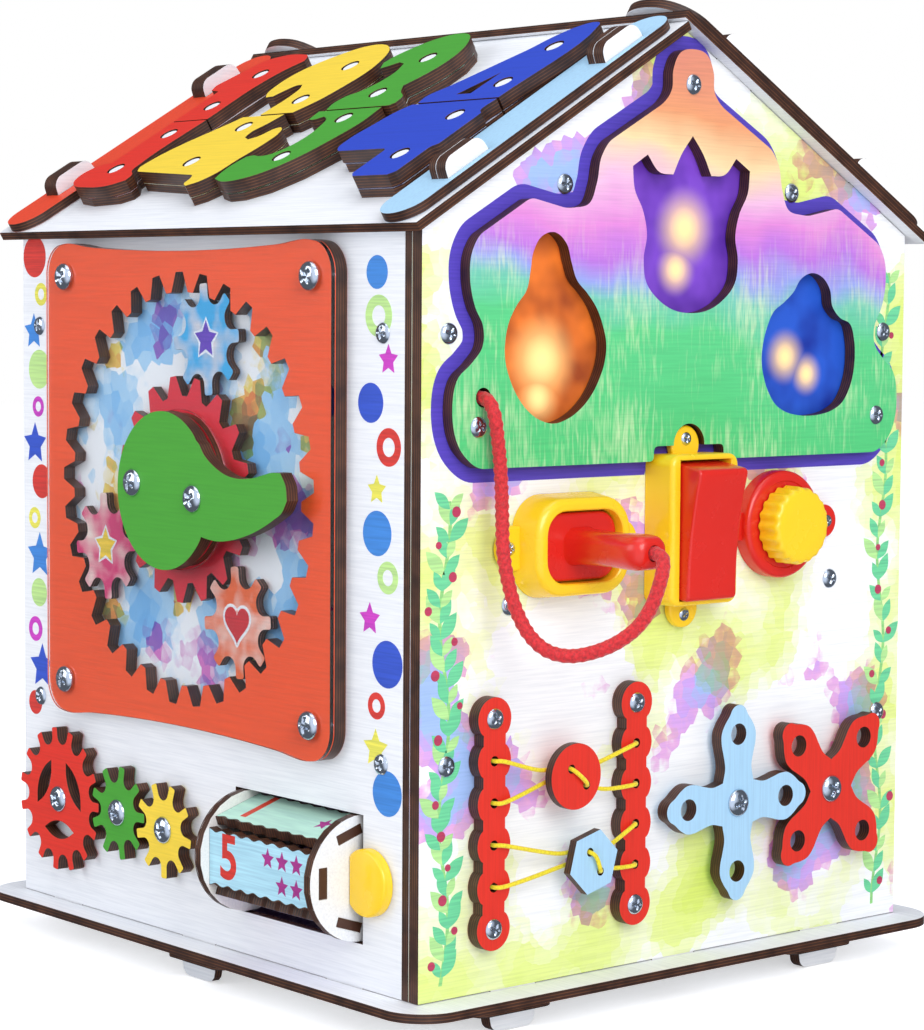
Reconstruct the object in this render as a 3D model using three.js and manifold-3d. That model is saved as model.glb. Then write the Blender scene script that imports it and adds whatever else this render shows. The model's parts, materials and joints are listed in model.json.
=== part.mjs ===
// A wooden busy house: a plywood house on a base plate, with things to turn, press, plug and slide
// on its walls and number puzzles on its roof.
// Millimetres, +Z up. The gear wall faces -Y, the switch gable faces +X and the ridge runs along X.
import * as THREE from "three";
import { mergeVertices } from "three/addons/utils/BufferGeometryUtils.js";
import Module from "manifold-3d";

const wasm = await Module();
wasm.setup();

// Sheets, running gaps and fasteners shared by the whole house
const ply = 4; // laser-cut birch plywood of walls, roof and gears
const thickPly = 6; // plywood of the facade and of the pieces screwed onto the walls
const seam = 0.3; // gap between pieces that touch
const overrun = 1; // how far a joined or cutting solid reaches into its neighbour
const boltShank = 3; // radius
const boltHead = 6.25; // radius of the domed head
const boltDome = 2.6; // height of the domed head
const nutRadius = 5.2;
const nutHeight = 2.6;
const boltSides = 12;
const boreClearance = 0.3; // radial, round bolts and axles

// House
const houseLength = 300; // along X, over the gables
const houseDepth = 290; // along Y, over the walls
const eaveHeight = 317.25; // above the base plate, at the walls' outer faces
const roofAngle = THREE.MathUtils.degToRad(30.655);
const roofOverhang = 7; // the roof reaches this far past each gable
const eaveDrop = 7.7; // the roof reaches this far past each wall, along the slope
const ridgeCover = 7; // the far roof panel runs this far over the near one's end

// Base plate and feet
const baseEndReach = 17; // the plate reaches this far past each gable
const baseWallReach = 15; // and this far past each long wall
const baseLength = houseLength + 2 * baseEndReach;
const baseDepth = houseDepth + 2 * baseWallReach;
const baseCorner = 20;
const footDrop = 7.5; // a foot tab stands this far below its strip
const footWidth = 25;
const footCentre = 93.5; // from the middle of a gable
const wallFootCentre = -4.5; // along X, of the two long walls' feet
const footStripLength = 25;
const footStripWidth = 42;
const footCorner = 5;
const middleTab = 25.4; // width of the short tab under a gable
const wallTabWidth = 24.3;
const wallTabInset = 37.9; // from a long wall's ends to the middle of each short tab

// Roof tabs of the gables, and the battens that they lock
const tabLength = 24.4;
const tabProud = 7.5; // above the batten
const tabCorner = 6;
const tabPlaceShares = [0.196, 0.788]; // of the slope's length, from the eave
const battenWidth = 24.5;
const battenInset = 3; // from the roof panel's side edge
const farBattenWidth = 43;
const farBattenRise = 11.5; // past the ridge
const farBattenCorner = 19;
const battenTopGap = 0.5;

// Derived places of the house
const halfLength = houseLength / 2;
const halfDepth = houseDepth / 2;
const slopeLength = halfDepth / Math.cos(roofAngle);
const apexHeight = eaveHeight + halfDepth * Math.tan(roofAngle);
const gableThickness = ply + seam + thickPly;
const wallEnd = halfLength - gableThickness - seam;
const panelFace = seam + ply; // outer face of a roof panel over the gable's slope
const battenFace = panelFace + seam + ply;

// Outlines as lists of [x, y] points
const circle = (x, y, radius, sides = 24) =>
  Array.from({ length: sides }, (_, i) => {
    const angle = ((i + 0.5) / sides) * 2 * Math.PI;
    return [x + radius * Math.cos(angle), y + radius * Math.sin(angle)];
  });

// A polygon whose corners [x, y, radius] are rounded by arcs
function rounded(corners, steps = 3) {
  const points = [];
  corners.forEach(([x, y, radius = 0], i) => {
    if (radius === 0) {
      points.push([x, y]);
      return;
    }
    const here = new THREE.Vector2(x, y);
    const [beforeX, beforeY] = corners[(i + corners.length - 1) % corners.length];
    const [afterX, afterY] = corners[(i + 1) % corners.length];
    const back = new THREE.Vector2(beforeX, beforeY).sub(here).normalize();
    const on = new THREE.Vector2(afterX, afterY).sub(here).normalize();
    const half = Math.acos(THREE.MathUtils.clamp(back.dot(on), -1, 1)) / 2;
    const centre = here.clone().addScaledVector(back.clone().add(on).normalize(), radius / Math.sin(half));
    const start = here.clone().addScaledVector(back, radius / Math.tan(half)).sub(centre);
    const turn = Math.sign(start.cross(back)) * (Math.PI - 2 * half);
    for (let step = 0; step <= steps; step += 1) {
      const at = start.clone().rotateAround(new THREE.Vector2(), (-turn * step) / steps);
      points.push([centre.x + at.x, centre.y + at.y]);
    }
  });
  return points;
}

const rectangle = (left, right, low, high, radius = 0, steps = 3) =>
  rounded(
    [
      [left, low, radius],
      [right, low, radius],
      [right, high, radius],
      [left, high, radius],
    ],
    steps,
  );

const centred = (x, y, width, height, radius = 0, steps = 3) =>
  rectangle(x - width / 2, x + width / 2, y - height / 2, y + height / 2, radius, steps);

// A smooth closed line through the points
function smooth(points, count) {
  const line = points.map(([x, y]) => new THREE.Vector3(x, y, 0));
  const curve = new THREE.CatmullRomCurve3(line, true, "centripetal");
  return curve.getSpacedPoints(count).slice(0, -1).map((point) => [point.x, point.y]);
}

const scaled = (shares, width, height = width) => shares.map(([x, y]) => [x * width, y * height]);
const moved = (points, x, y) => points.map(([px, py]) => [px + x, py + y]);
const turned = (points, angle) =>
  points.map(([x, y]) => [
    x * Math.cos(angle) - y * Math.sin(angle),
    x * Math.sin(angle) + y * Math.cos(angle),
  ]);
const mirrored = (points) => points.map(([x, y]) => [-x, y]).reverse();
const vectors = (points) => points.map(([x, y]) => new THREE.Vector2(x, y));

// Solids
const solid = (geometry) => {
  const bare = new THREE.BufferGeometry();
  bare.setAttribute("position", geometry.getAttribute("position"));
  bare.setIndex(geometry.getIndex());
  const merged = mergeVertices(bare, 1e-4);
  return new wasm.Manifold(
    new wasm.Mesh({
      numProp: 3,
      vertProperties: new Float32Array(merged.getAttribute("position").array),
      triVerts: new Uint32Array(merged.getIndex().array),
    }),
  );
};

const sheet = (outline, low, high, holes = []) => {
  const shape = new THREE.Shape(vectors(outline));
  shape.holes = holes.map((hole) => new THREE.Path(vectors(hole)));
  const geometry = new THREE.ExtrudeGeometry(shape, { depth: high - low, bevelEnabled: false });
  return solid(geometry.translate(0, 0, low));
};

// A turned piece: a profile of [radius, height] that starts and ends on the axis, round local z
const turnedPiece = (profile, sides = 20) =>
  solid(new THREE.LatheGeometry(vectors(profile), sides).rotateX(Math.PI / 2));

// A skin over sections [outline, height] with as many points each
function loft(sections) {
  const count = sections[0][0].length;
  const positions = sections.flatMap(([outline, height]) => outline.flatMap(([x, y]) => [x, y, height]));
  const faces = THREE.ShapeUtils.triangulateShape(vectors(sections[0][0]), []);
  const top = (sections.length - 1) * count;
  const indices = faces.flatMap(([a, b, c]) => [c, b, a]);
  indices.push(...faces.flatMap(([a, b, c]) => [a + top, b + top, c + top]));
  for (let level = 0; level < sections.length - 1; level += 1) {
    for (let i = 0; i < count; i += 1) {
      const here = level * count + i;
      const next = level * count + ((i + 1) % count);
      indices.push(here, next, next + count, here, next + count, here + count);
    }
  }
  const geometry = new THREE.BufferGeometry();
  geometry.setAttribute("position", new THREE.Float32BufferAttribute(positions, 3));
  geometry.setIndex(indices);
  return solid(geometry);
}

const join = (first, ...others) => others.reduce((whole, other) => whole.add(other), first);
const cut = (first, ...others) => others.reduce((whole, other) => whole.subtract(other), first);
const placed = (shape, x, y, z) => shape.translate([x, y, z]);
const spun = (shape, x, y, z) => shape.rotate([x, y, z].map((angle) => THREE.MathUtils.radToDeg(angle)));

function geometryOf(shape) {
  const mesh = shape.getMesh();
  const geometry = new THREE.BufferGeometry();
  geometry.setAttribute("position", new THREE.Float32BufferAttribute(mesh.vertProperties, 3));
  geometry.setIndex(new THREE.Uint32BufferAttribute(mesh.triVerts, 1));
  geometry.computeVertexNormals();
  return geometry;
}

// Materials: the painted and varnished ply, plastics and metal of the toy
const finish = (color, roughness, metalness = 0) =>
  new THREE.MeshStandardMaterial({ color, roughness, metalness });
const whitePly = finish("#e9eef4", 0.6);
const redPly = finish("#e5301f", 0.55);
const orangePly = finish("#e8451f", 0.55);
const skyPly = finish("#a3d3f2", 0.55);
const greenPly = finish("#4aae2f", 0.55);
const yellowPly = finish("#f9dd4a", 0.55);
const bluePly = finish("#163fd0", 0.55);
const pinkPly = finish("#e0506f", 0.55);
const lampPly = finish("#e8874a", 0.55);
const rawPly = finish("#d9a066", 0.7);
const clearPlastic = finish("#f4f8fa", 0.08);
clearPlastic.transparent = true;
clearPlastic.opacity = 0.3;
const opalPlastic = finish("#5fe08a", 0.4);
const yellowPlastic = finish("#ffd21f", 0.3);
const redPlastic = finish("#d9261c", 0.3);
const greyPlastic = finish("#3a3d42", 0.5);
const boardGreen = finish("#1f6b45", 0.5);
const steel = finish("#c9ccd0", 0.25, 1);
const ropeFibre = finish("#d5202a", 0.85);
const elasticFibre = finish("#f2e21e", 0.6);

const house = new THREE.Group();
const side = (x, y, z, axisX, axisY, axisZ) => {
  const group = new THREE.Group();
  const basis = new THREE.Matrix4().makeBasis(axisX, axisY, axisZ);
  group.quaternion.setFromRotationMatrix(basis);
  group.position.set(x, y, z);
  house.add(group);
  return group;
};
const along = (x, y, z) => new THREE.Vector3(x, y, z);
const slopeCos = Math.cos(roofAngle);
const slopeSin = Math.sin(roofAngle);

// Each side of the house is drawn flat, with local z pointing outwards from its face
const gearSide = side(0, -halfDepth, 0, along(1, 0, 0), along(0, 0, 1), along(0, -1, 0));
const rearSide = side(0, halfDepth, 0, along(-1, 0, 0), along(0, 0, 1), along(0, 1, 0));
const switchSide = side(halfLength, 0, 0, along(0, 1, 0), along(0, 0, 1), along(1, 0, 0));
const farGableSide = side(-halfLength, 0, 0, along(0, -1, 0), along(0, 0, 1), along(-1, 0, 0));
const nearUp = along(0, slopeCos, slopeSin);
const farUp = along(0, -slopeCos, slopeSin);
const nearRoof = side(0, -halfDepth, eaveHeight, along(1, 0, 0), nearUp, along(0, -slopeSin, slopeCos));
const farRoof = side(0, halfDepth, eaveHeight, along(-1, 0, 0), farUp, along(0, slopeSin, slopeCos));

function piece(parent, name, shape, material) {
  const mesh = new THREE.Mesh(geometryOf(shape), material);
  mesh.name = name;
  parent.add(mesh);
  return mesh;
}

// A domed bolt through a wall, with its nut behind; spacer is the profile of a sleeve under its head
function bolt(wall, headSeat, spacer = []) {
  const back = -wall - seam;
  const tail = back - nutHeight;
  const dome = [0, 0.45, 0.8].map((share) => [
    boltHead * Math.cos((share * Math.PI) / 2),
    headSeat + boltDome * Math.sin((share * Math.PI) / 2),
  ]);
  const nut = [[0, tail], [nutRadius, tail], [nutRadius, back]];
  const shank = [[boltShank, back], ...spacer, [boltShank, headSeat]];
  return turnedPiece([...nut, ...shank, ...dome, [0, headSeat + boltDome]], boltSides);
}

// Gear outlines: straight-flanked teeth on a pitch circle, as a laser cuts them
const addendumShare = 0.66; // of the module, as the next four
const dedendumShare = 0.95;
const flankSlope = Math.tan(THREE.MathUtils.degToRad(22));
const toothShare = 0.67; // half a tooth's width at the pitch circle
const spaceShare = 0.87; // half a ring space's width at the pitch circle

function toothedWheel(teeth, module, firstAngle, halfToothShare, tipShare, rootShare) {
  const pitch = (teeth * module) / 2;
  const tip = pitch + tipShare * module;
  const root = pitch - rootShare * module;
  const halfAt = (radius) => (halfToothShare * module - (radius - pitch) * flankSlope) / radius;
  const points = [];
  for (let tooth = 0; tooth < teeth; tooth += 1) {
    const middle = firstAngle + (tooth / teeth) * 2 * Math.PI;
    [
      [root, -halfAt(root)],
      [tip, -halfAt(tip)],
      [tip, halfAt(tip)],
      [root, halfAt(root)],
    ].forEach(([radius, angle]) => {
      points.push([radius * Math.cos(middle + angle), radius * Math.sin(middle + angle)]);
    });
  }
  return points;
}
const gearOutline = (teeth, module, firstAngle = 0) =>
  toothedWheel(teeth, module, firstAngle, toothShare, addendumShare, dedendumShare);

// Base plate with its foot strips, and slots for every wall's tabs
const slotGap = 0.4; // round a tab
const baseTop = -seam;
const stripLow = baseTop - ply - thickPly;
const gableFeet = [-footCentre, footCentre];
const wallTabs = [wallTabInset - halfLength, wallEnd - wallTabInset];
const facadeMiddle = halfLength - thickPly / 2;
const wallMiddle = halfDepth - ply / 2;

function slot(x, y, width, depth, low) {
  return sheet(centred(x, y, width + 2 * slotGap, depth + 2 * slotGap), low - overrun, baseTop + overrun);
}

function basePlate() {
  const plate = sheet(centred(0, 0, baseLength, baseDepth, baseCorner), baseTop - ply, baseTop);
  const strips = [];
  const slots = [];
  const strip = (x, y, length, width) =>
    sheet(centred(x, y, length, width, footCorner, 2), stripLow, baseTop - ply + overrun);
  const stripShift = footStripLength / 2 - thickPly;
  [-1, 1].forEach((end) => {
    gableFeet.forEach((y) => {
      strips.push(strip(end * (facadeMiddle - stripShift), y, footStripLength, footStripWidth));
      slots.push(slot(end * facadeMiddle, y, thickPly, footWidth, stripLow));
    });
    slots.push(slot(end * facadeMiddle, 0, thickPly, middleTab, stripLow));
    strips.push(strip(wallFootCentre, end * (wallMiddle - stripShift), footStripWidth, footStripLength));
    slots.push(slot(wallFootCentre, end * wallMiddle, footWidth, ply, stripLow));
    wallTabs.forEach((x) => slots.push(slot(x, end * wallMiddle, wallTabWidth, ply, stripLow)));
  });
  return cut(join(plate, ...strips), ...slots);
}
piece(house, "base_plate", basePlate(), whitePly);

// A foot or tab below a wall, as outline corners from left to right
const footCorners = (x, width, drop, radius) => [
  [x - width / 2, 0, 0],
  [x - width / 2, -drop, radius],
  [x + width / 2, -drop, radius],
  [x + width / 2, 0, 0],
];
const footReach = -stripLow + footDrop;
const tabReach = seam + ply;

// Gables: two-layer ends whose slopes carry the roof, with tabs that lock roof and battens
const roofTabRise = battenFace + tabProud;

function gableOutline(halfSpan, withFeet, withTabs = true) {
  const corners = [[-halfSpan, 0, 0]];
  if (withFeet) {
    corners.push(...footCorners(-footCentre, footWidth, footReach, footCorner));
    corners.push(...footCorners(0, middleTab, tabReach, 0));
    corners.push(...footCorners(footCentre, footWidth, footReach, footCorner));
  }
  corners.push([halfSpan, 0, 0]);
  const onSlope = (v, rise, sideSign) => [
    sideSign * (halfDepth - v * slopeCos + rise * slopeSin),
    eaveHeight + v * slopeSin + rise * slopeCos,
  ];
  const eaveV = (halfDepth - halfSpan) / slopeCos;
  const slopeCorners = (sideSign) => {
    const list = [[...onSlope(eaveV, 0, sideSign), 0]];
    if (withTabs) {
      tabPlaceShares.forEach((share) => {
        const low = share * slopeLength - tabLength / 2;
        const high = low + tabLength;
        list.push([...onSlope(low, 0, sideSign), 0]);
        list.push([...onSlope(low, roofTabRise, sideSign), tabCorner]);
        list.push([...onSlope(high, roofTabRise, sideSign), tabCorner]);
        list.push([...onSlope(high, 0, sideSign), 0]);
      });
    }
    return list;
  };
  corners.push(...slopeCorners(1), [0, apexHeight, 0], ...slopeCorners(-1).reverse());
  return rounded(corners);
}

// Light panel on the gable: its outline and its three windows, as shares of its size
const lampHeight = 176;
const lampSideGap = 11; // from the panel's side to the gable's edge
const lampHalfWidth = halfDepth - lampSideGap;
const lampPeakGap = 9.19; // from the panel's top to the gable's peak
const lampBottom = apexHeight - lampPeakGap - lampHeight; // above the base plate
const lampShares = [
  [0.873, 0], [0.955, 0.034], [1, 0.142], [0.978, 0.21], [0.925, 0.244], [0.881, 0.284],
  [0.881, 0.33], [0.91, 0.369], [0.933, 0.438], [0.925, 0.5], [0.881, 0.545], [0.709, 0.619],
  [0.672, 0.625], [0.56, 0.608], [0.507, 0.608], [0.448, 0.619], [0.418, 0.665], [0.396, 0.733],
  [0.351, 0.773], [0.149, 0.858], [0.097, 0.898], [0.09, 0.949], [0.06, 0.989], [0, 1],
];
const lampRight = scaled(lampShares, lampHalfWidth, lampHeight);
const lampOutline = moved([...lampRight, ...mirrored(lampRight).slice(1)], 0, lampBottom);
const lampSize = ([x, y]) => [x * lampHalfWidth, y * lampHeight + lampBottom];
// A pear, a bell flower and a cloud
const pearShares = [
  [-0.59, 0.1], [-0.45, 0.15], [-0.37, 0.27], [-0.42, 0.38], [-0.5, 0.44], [-0.55, 0.53],
  [-0.62, 0.55], [-0.68, 0.5], [-0.7, 0.42], [-0.77, 0.35], [-0.79, 0.25], [-0.71, 0.14],
];
const bellShares = [
  [0, 0.36], [0.12, 0.38], [0.21, 0.45], [0.2, 0.57], [0.27, 0.7], [0.2, 0.74], [0.11, 0.68],
  [0, 0.79], [-0.11, 0.68], [-0.2, 0.74], [-0.27, 0.7], [-0.2, 0.57], [-0.21, 0.45], [-0.12, 0.38],
];
const cloudShares = [
  [0.4, 0.13], [0.56, 0.1], [0.72, 0.13], [0.78, 0.22], [0.76, 0.33], [0.68, 0.36],
  [0.64, 0.44], [0.54, 0.46], [0.46, 0.4], [0.38, 0.36], [0.33, 0.24],
];
const windowPoints = 26;
const lampWindows = [pearShares, bellShares, cloudShares].map((shares) =>
  smooth(shares.map(lampSize), windowPoints),
);
// One opening in the facade lets the light through; a sheet fills it behind the windows
const glowShares = [
  [-0.72, 0.07], [0.86, 0.07], [0.86, 0.5], [0.34, 0.56], [0.31, 0.83], [-0.31, 0.83], [-0.34, 0.58],
  [-0.88, 0.58], [-0.88, 0.3],
];
const glowCorner = 12;
const glowRim = 4; // the inner layer's opening is this much smaller all round
const glowCorners = glowShares.map(lampSize);
const inset = (points, by) => {
  const centreY = lampBottom + lampHeight / 2;
  return points.map(([x, y]) => [x - Math.sign(x) * by, y - Math.sign(y - centreY) * by]);
};
const glowOutline = (by) => rounded(inset(glowCorners, by).map(([x, y]) => [x, y, glowCorner]), 3);

// Plug set, switch, dial, lacing and spinners: their places on the gable
const ropeRadius = 3;
const ropeHole = 4;
const ropeHoleInset = 16.5; // from the light panel's left side
const ropeHoleX = ropeHoleInset - lampHalfWidth;
const ropeHoleLift = 29; // over the light panel's lower edge
const ropeHoleY = lampBottom + ropeHoleLift;
const socketShare = -0.4655; // of the gable's half width
const socketX = socketShare * halfDepth;
const socketDrop = 33.6; // under the light panel's lower edge, as the next
const switchDrop = 29.5;
const socketY = lampBottom - socketDrop;
const switchY = lampBottom - switchDrop;
const spinnerY = 65.8;
const spinnerX = 59.4; // midway between the two spinners
const spinnerSpacing = 60.4;
const spinnerAxes = [spinnerX - spinnerSpacing / 2, spinnerX + spinnerSpacing / 2];
const laceHole = 2.1;
const laceLeft = -110;
const laceRight = -29.5;
const lacePitch = 17.5;
const laceLowShare = 0.1459; // height of the lowest lobe, of the switch's
const laceLow = laceLowShare * switchY;
const laceLobes = [0, 1, 2, 3, 4, 5].map((lobe) => laceLow + lobe * lacePitch);
const laced = laceLobes.slice(1, 5);
const laceHoles = [laceLeft, laceRight].flatMap((x) => laced.map((y) => circle(x, y, laceHole, 6)));
const spinnerBores = spinnerAxes.map((x) => circle(x, spinnerY, boltShank + boreClearance, 10));
const ropeBore = circle(ropeHoleX, ropeHoleY, ropeHole, 12);
const gableHoles = [...laceHoles, ...spinnerBores, ropeBore];

const facadeHoles = [...gableHoles, glowOutline(0)];
const innerHoles = [...gableHoles, glowOutline(glowRim)];
const facade = sheet(gableOutline(halfDepth, true), -thickPly, 0, facadeHoles);
const innerGable = sheet(gableOutline(halfDepth, false), -gableThickness, -thickPly - seam, innerHoles);
piece(switchSide, "gable_near_facade", facade, whitePly);
piece(switchSide, "gable_near_inner", innerGable, whitePly);
piece(
  farGableSide,
  "gable_far",
  join(
    sheet(gableOutline(halfDepth - ply - seam, false), -gableThickness, -thickPly + overrun),
    sheet(gableOutline(halfDepth - ply - seam, true), -thickPly, 0),
  ),
  whitePly,
);

// Roof: two panels with slots for the gables' tabs, the far one running over the ridge
const panelHalf = halfLength + roofOverhang;
const nearTop = slopeLength - (panelFace * Math.cos(2 * roofAngle)) / Math.sin(2 * roofAngle);
const battenOuter = panelHalf - battenInset;
const battenInner = battenOuter - battenWidth;
const battenTop = slopeLength - ridgeCover * Math.cos(2 * roofAngle) - battenTopGap;
const tabMiddle = halfLength - gableThickness / 2;

function tabSlots(low, high) {
  return [-tabMiddle, tabMiddle].flatMap((x) =>
    tabPlaceShares.map((share) =>
      sheet(
        centred(x, share * slopeLength, gableThickness + 2 * slotGap, tabLength + 2 * slotGap),
        low - overrun,
        high + overrun,
      ),
    ),
  );
}

// Numbers on the near roof: a fixed layer with pegs, and two lift-off halves each.
// Outlines are shares of half the width between the battens and of the slope's length.
const digitShares = {
  1: {
    upper: [
      [-0.88, 0.481], [-0.664, 0.481], [-0.656, 0.705], [-0.633, 0.765], [-0.587, 0.825],
      [-0.61, 0.855], [-0.695, 0.876], [-0.803, 0.873], [-0.888, 0.837], [-0.958, 0.711],
      [-0.942, 0.675], [-0.88, 0.663],
    ],
    lower: [
      [-0.88, 0.476], [-0.88, 0.239], [-0.942, 0.221], [-0.973, 0.179], [-0.958, 0.137],
      [-0.911, 0.108], [-0.811, 0.093], [-0.656, 0.102], [-0.605, 0.125], [-0.612, 0.152],
      [-0.66, 0.185], [-0.672, 0.233], [-0.664, 0.476],
    ],
    pegs: [[-0.764, 0.762], [-0.772, 0.568], [-0.784, 0.403], [-0.792, 0.2]],
    gaps: [],
  },
  2: {
    upper: [
      [-0.525, 0.669], [-0.51, 0.747], [-0.463, 0.801], [-0.402, 0.843], [-0.324, 0.879],
      [-0.247, 0.891], [-0.17, 0.879], [-0.1, 0.837], [-0.062, 0.777], [-0.046, 0.705],
      [-0.062, 0.628], [-0.093, 0.55], [-0.147, 0.482], [-0.34, 0.482], [-0.324, 0.598],
      [-0.332, 0.634], [-0.355, 0.66], [-0.386, 0.658], [-0.417, 0.628], [-0.44, 0.598],
      [-0.479, 0.595], [-0.51, 0.622],
    ],
    lower: [
      [-0.432, 0.475], [-0.63, 0.236], [-0.638, 0.2], [-0.602, 0.173], [-0.216, 0.137],
      [-0.193, 0.12], [-0.185, 0.09], [-0.154, 0.075], [-0.108, 0.096], [-0.077, 0.132],
      [-0.062, 0.209], [-0.039, 0.299], [-0.039, 0.347], [-0.062, 0.383], [-0.085, 0.395],
      [-0.108, 0.389], [-0.147, 0.347], [-0.185, 0.332], [-0.224, 0.347], [-0.232, 0.377],
      [-0.208, 0.418], [-0.185, 0.475],
    ],
    pegs: [[-0.22, 0.762], [-0.224, 0.565], [-0.336, 0.415], [-0.344, 0.218]],
    gaps: [],
  },
  3: {
    upper: [
      [-0.023, 0.759], [-0.008, 0.801], [0.031, 0.843], [0.093, 0.885], [0.185, 0.909],
      [0.263, 0.897], [0.324, 0.849], [0.363, 0.777], [0.363, 0.705], [0.34, 0.646],
      [0.309, 0.598], [0.347, 0.562], [0.402, 0.526], [0.409, 0.496], [0.386, 0.482],
      [0.046, 0.482], [0.031, 0.52], [0.046, 0.556], [0.093, 0.586], [0.131, 0.64],
      [0.139, 0.687], [0.116, 0.741], [0.077, 0.753], [0.039, 0.735], [0.008, 0.723],
    ],
    lower: [
      [0.015, 0.475], [0.363, 0.475], [0.371, 0.395], [0.34, 0.299], [0.286, 0.203],
      [0.208, 0.132], [0.116, 0.096], [0.039, 0.09], [-0.031, 0.108], [-0.046, 0.143],
      [-0.046, 0.191], [-0.031, 0.227], [0, 0.233], [0.039, 0.227], [0.093, 0.233],
      [0.139, 0.269], [0.162, 0.329], [0.154, 0.383], [0.131, 0.424], [0.093, 0.442],
      [0.054, 0.427], [0.023, 0.43],
    ],
    pegs: [[0.212, 0.768], [0.212, 0.568], [0.224, 0.427], [0.178, 0.221]],
    gaps: [],
  },
  4: {
    upper: [
      [0.548, 0.482], [0.958, 0.482], [0.969, 0.855], [0.95, 0.885], [0.911, 0.894],
      [0.849, 0.873], [0.795, 0.825], [0.749, 0.753], [0.595, 0.574], [0.541, 0.514],
    ],
    lower: [
      [0.525, 0.475], [0.958, 0.475], [0.958, 0.412], [0.981, 0.395], [0.981, 0.245],
      [0.958, 0.221], [0.958, 0.108], [0.934, 0.087], [0.757, 0.087], [0.734, 0.108],
      [0.734, 0.221], [0.718, 0.23], [0.486, 0.23], [0.448, 0.251], [0.44, 0.299],
      [0.463, 0.371], [0.494, 0.442],
    ],
    pegs: [[0.869, 0.768], [0.865, 0.571], [0.849, 0.4], [0.842, 0.2]],
    gaps: [[0.699, 0.517], [0.772, 0.517], [0.78, 0.631]],
  },
};
const digitMaterials = { 1: redPly, 2: yellowPly, 3: greenPly, 4: bluePly };
const pegRadius = 3.9;
const pegHole = 4.6;
const onRoof = (shares) => scaled(shares, battenInner, slopeLength);
const plinthFace = panelFace + ply; // face of the fixed digit layer
const halfLow = plinthFace + seam;
const halfHigh = halfLow + thickPly;
const pegSink = 0.5; // a peg's end lies this far under its half's face
const pegTop = halfHigh - pegSink;

function nearRoofPanel() {
  const panel = sheet(rectangle(-panelHalf, panelHalf, -eaveDrop, nearTop), seam, panelFace);
  const added = Object.values(digitShares).flatMap(({ upper, lower, pegs, gaps }) => [
    sheet(onRoof(upper), panelFace - overrun, plinthFace, gaps.length > 0 ? [onRoof(gaps)] : []),
    sheet(onRoof(lower), panelFace - overrun, plinthFace),
    ...onRoof(pegs).map(([x, y]) => sheet(circle(x, y, pegRadius, 8), plinthFace - overrun, pegTop)),
  ]);
  return cut(join(panel, ...added), ...tabSlots(0, panelFace));
}
piece(nearRoof, "roof_near", nearRoofPanel(), whitePly);

function batten(outline) {
  return cut(sheet(outline, panelFace + seam, battenFace), ...tabSlots(panelFace, battenFace));
}
const nearBatten = rectangle(battenInner, battenOuter, -eaveDrop, battenTop, battenWidth / 2 - seam, 6);
piece(nearRoof, "batten_blue", batten(nearBatten), skyPly);
piece(nearRoof, "batten_orange", batten(mirrored(nearBatten)), orangePly);

function farRoofPanel() {
  const panel = sheet(rectangle(-panelHalf, panelHalf, -eaveDrop, slopeLength + ridgeCover), seam, panelFace);
  const strip = rounded([
    [battenOuter - farBattenWidth, -eaveDrop, battenWidth / 2],
    [battenOuter, -eaveDrop, battenWidth / 2],
    [battenOuter, slopeLength + farBattenRise, farBattenCorner],
    [battenOuter - farBattenWidth, slopeLength + farBattenRise, farBattenCorner],
  ]);
  const strips = [strip, mirrored(strip)].map((outline) => sheet(outline, panelFace - overrun, battenFace));
  return cut(join(panel, ...strips), ...tabSlots(0, battenFace));
}
piece(farRoof, "roof_far", farRoofPanel(), whitePly);

Object.entries(digitShares).forEach(([digit, { upper, lower, pegs, gaps }]) => {
  const bores = onRoof(pegs).map(([x, y]) => circle(x, y, pegHole, 10));
  const upperHoles = [...bores.slice(0, 2), ...(gaps.length > 0 ? [onRoof(gaps)] : [])];
  const material = digitMaterials[digit];
  piece(nearRoof, `digit_${digit}_upper`, sheet(onRoof(upper), halfLow, halfHigh, upperHoles), material);
  piece(nearRoof, `digit_${digit}_lower`, sheet(onRoof(lower), halfLow, halfHigh, bores.slice(2)), material);
});

// Ring gear game on the gear wall
const ringX = -7;
const ringSize = 218;
const ringEaveGap = 6.25; // from the ring panel to the wall's top
const ringY = eaveHeight - ringEaveGap - ringSize / 2;
const ringCorner = 14;
const ringHollow = 3.8; // how far the top and bottom edges curve in
const gameModule = 5.5;
const ringTeeth = 33;
const sunTeeth = 17;
const planetTeeth = 8;
const ringFirstSpace = THREE.MathUtils.degToRad(91.2);
const planetAngles = { blue: 75.6, pink: 205.2, orange: 306 }; // degrees
const planetMaterials = { blue: finish("#3fb4e8", 0.5), pink: pinkPly, orange: finish("#e8714a", 0.5) };
const coverThickness = 2;
const coverHole = 35.5;
const hubRadius = 34;
const hubFace = 9.9; // over the wall
const sunSpacer = 28; // radius, between the hub and the handle
const handleThickness = thickPly;
const handleFace = 18;
const sunThickness = 4.6;
const axleRadius = 5;
const axleHead = 10; // radius, behind the wall
const axleBore = axleRadius + boreClearance;
const carrierThickness = 0.8;
const carrierArm = 6;
const carrierHub = 15; // radius
const pinRadius = 4;
const pinBore = pinRadius + boreClearance;
const planetSkin = 1.4; // face left in front of a planet's pin bore
const carrierFace = seam + carrierThickness;
const wheelLow = carrierFace + seam;
const wheelHigh = wheelLow + ply;
const orbit = ((sunTeeth + planetTeeth) * gameModule) / 2;
const planetSpots = Object.entries(planetAngles).map(([name, degrees]) => [
  name,
  THREE.MathUtils.degToRad(degrees),
]);

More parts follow.
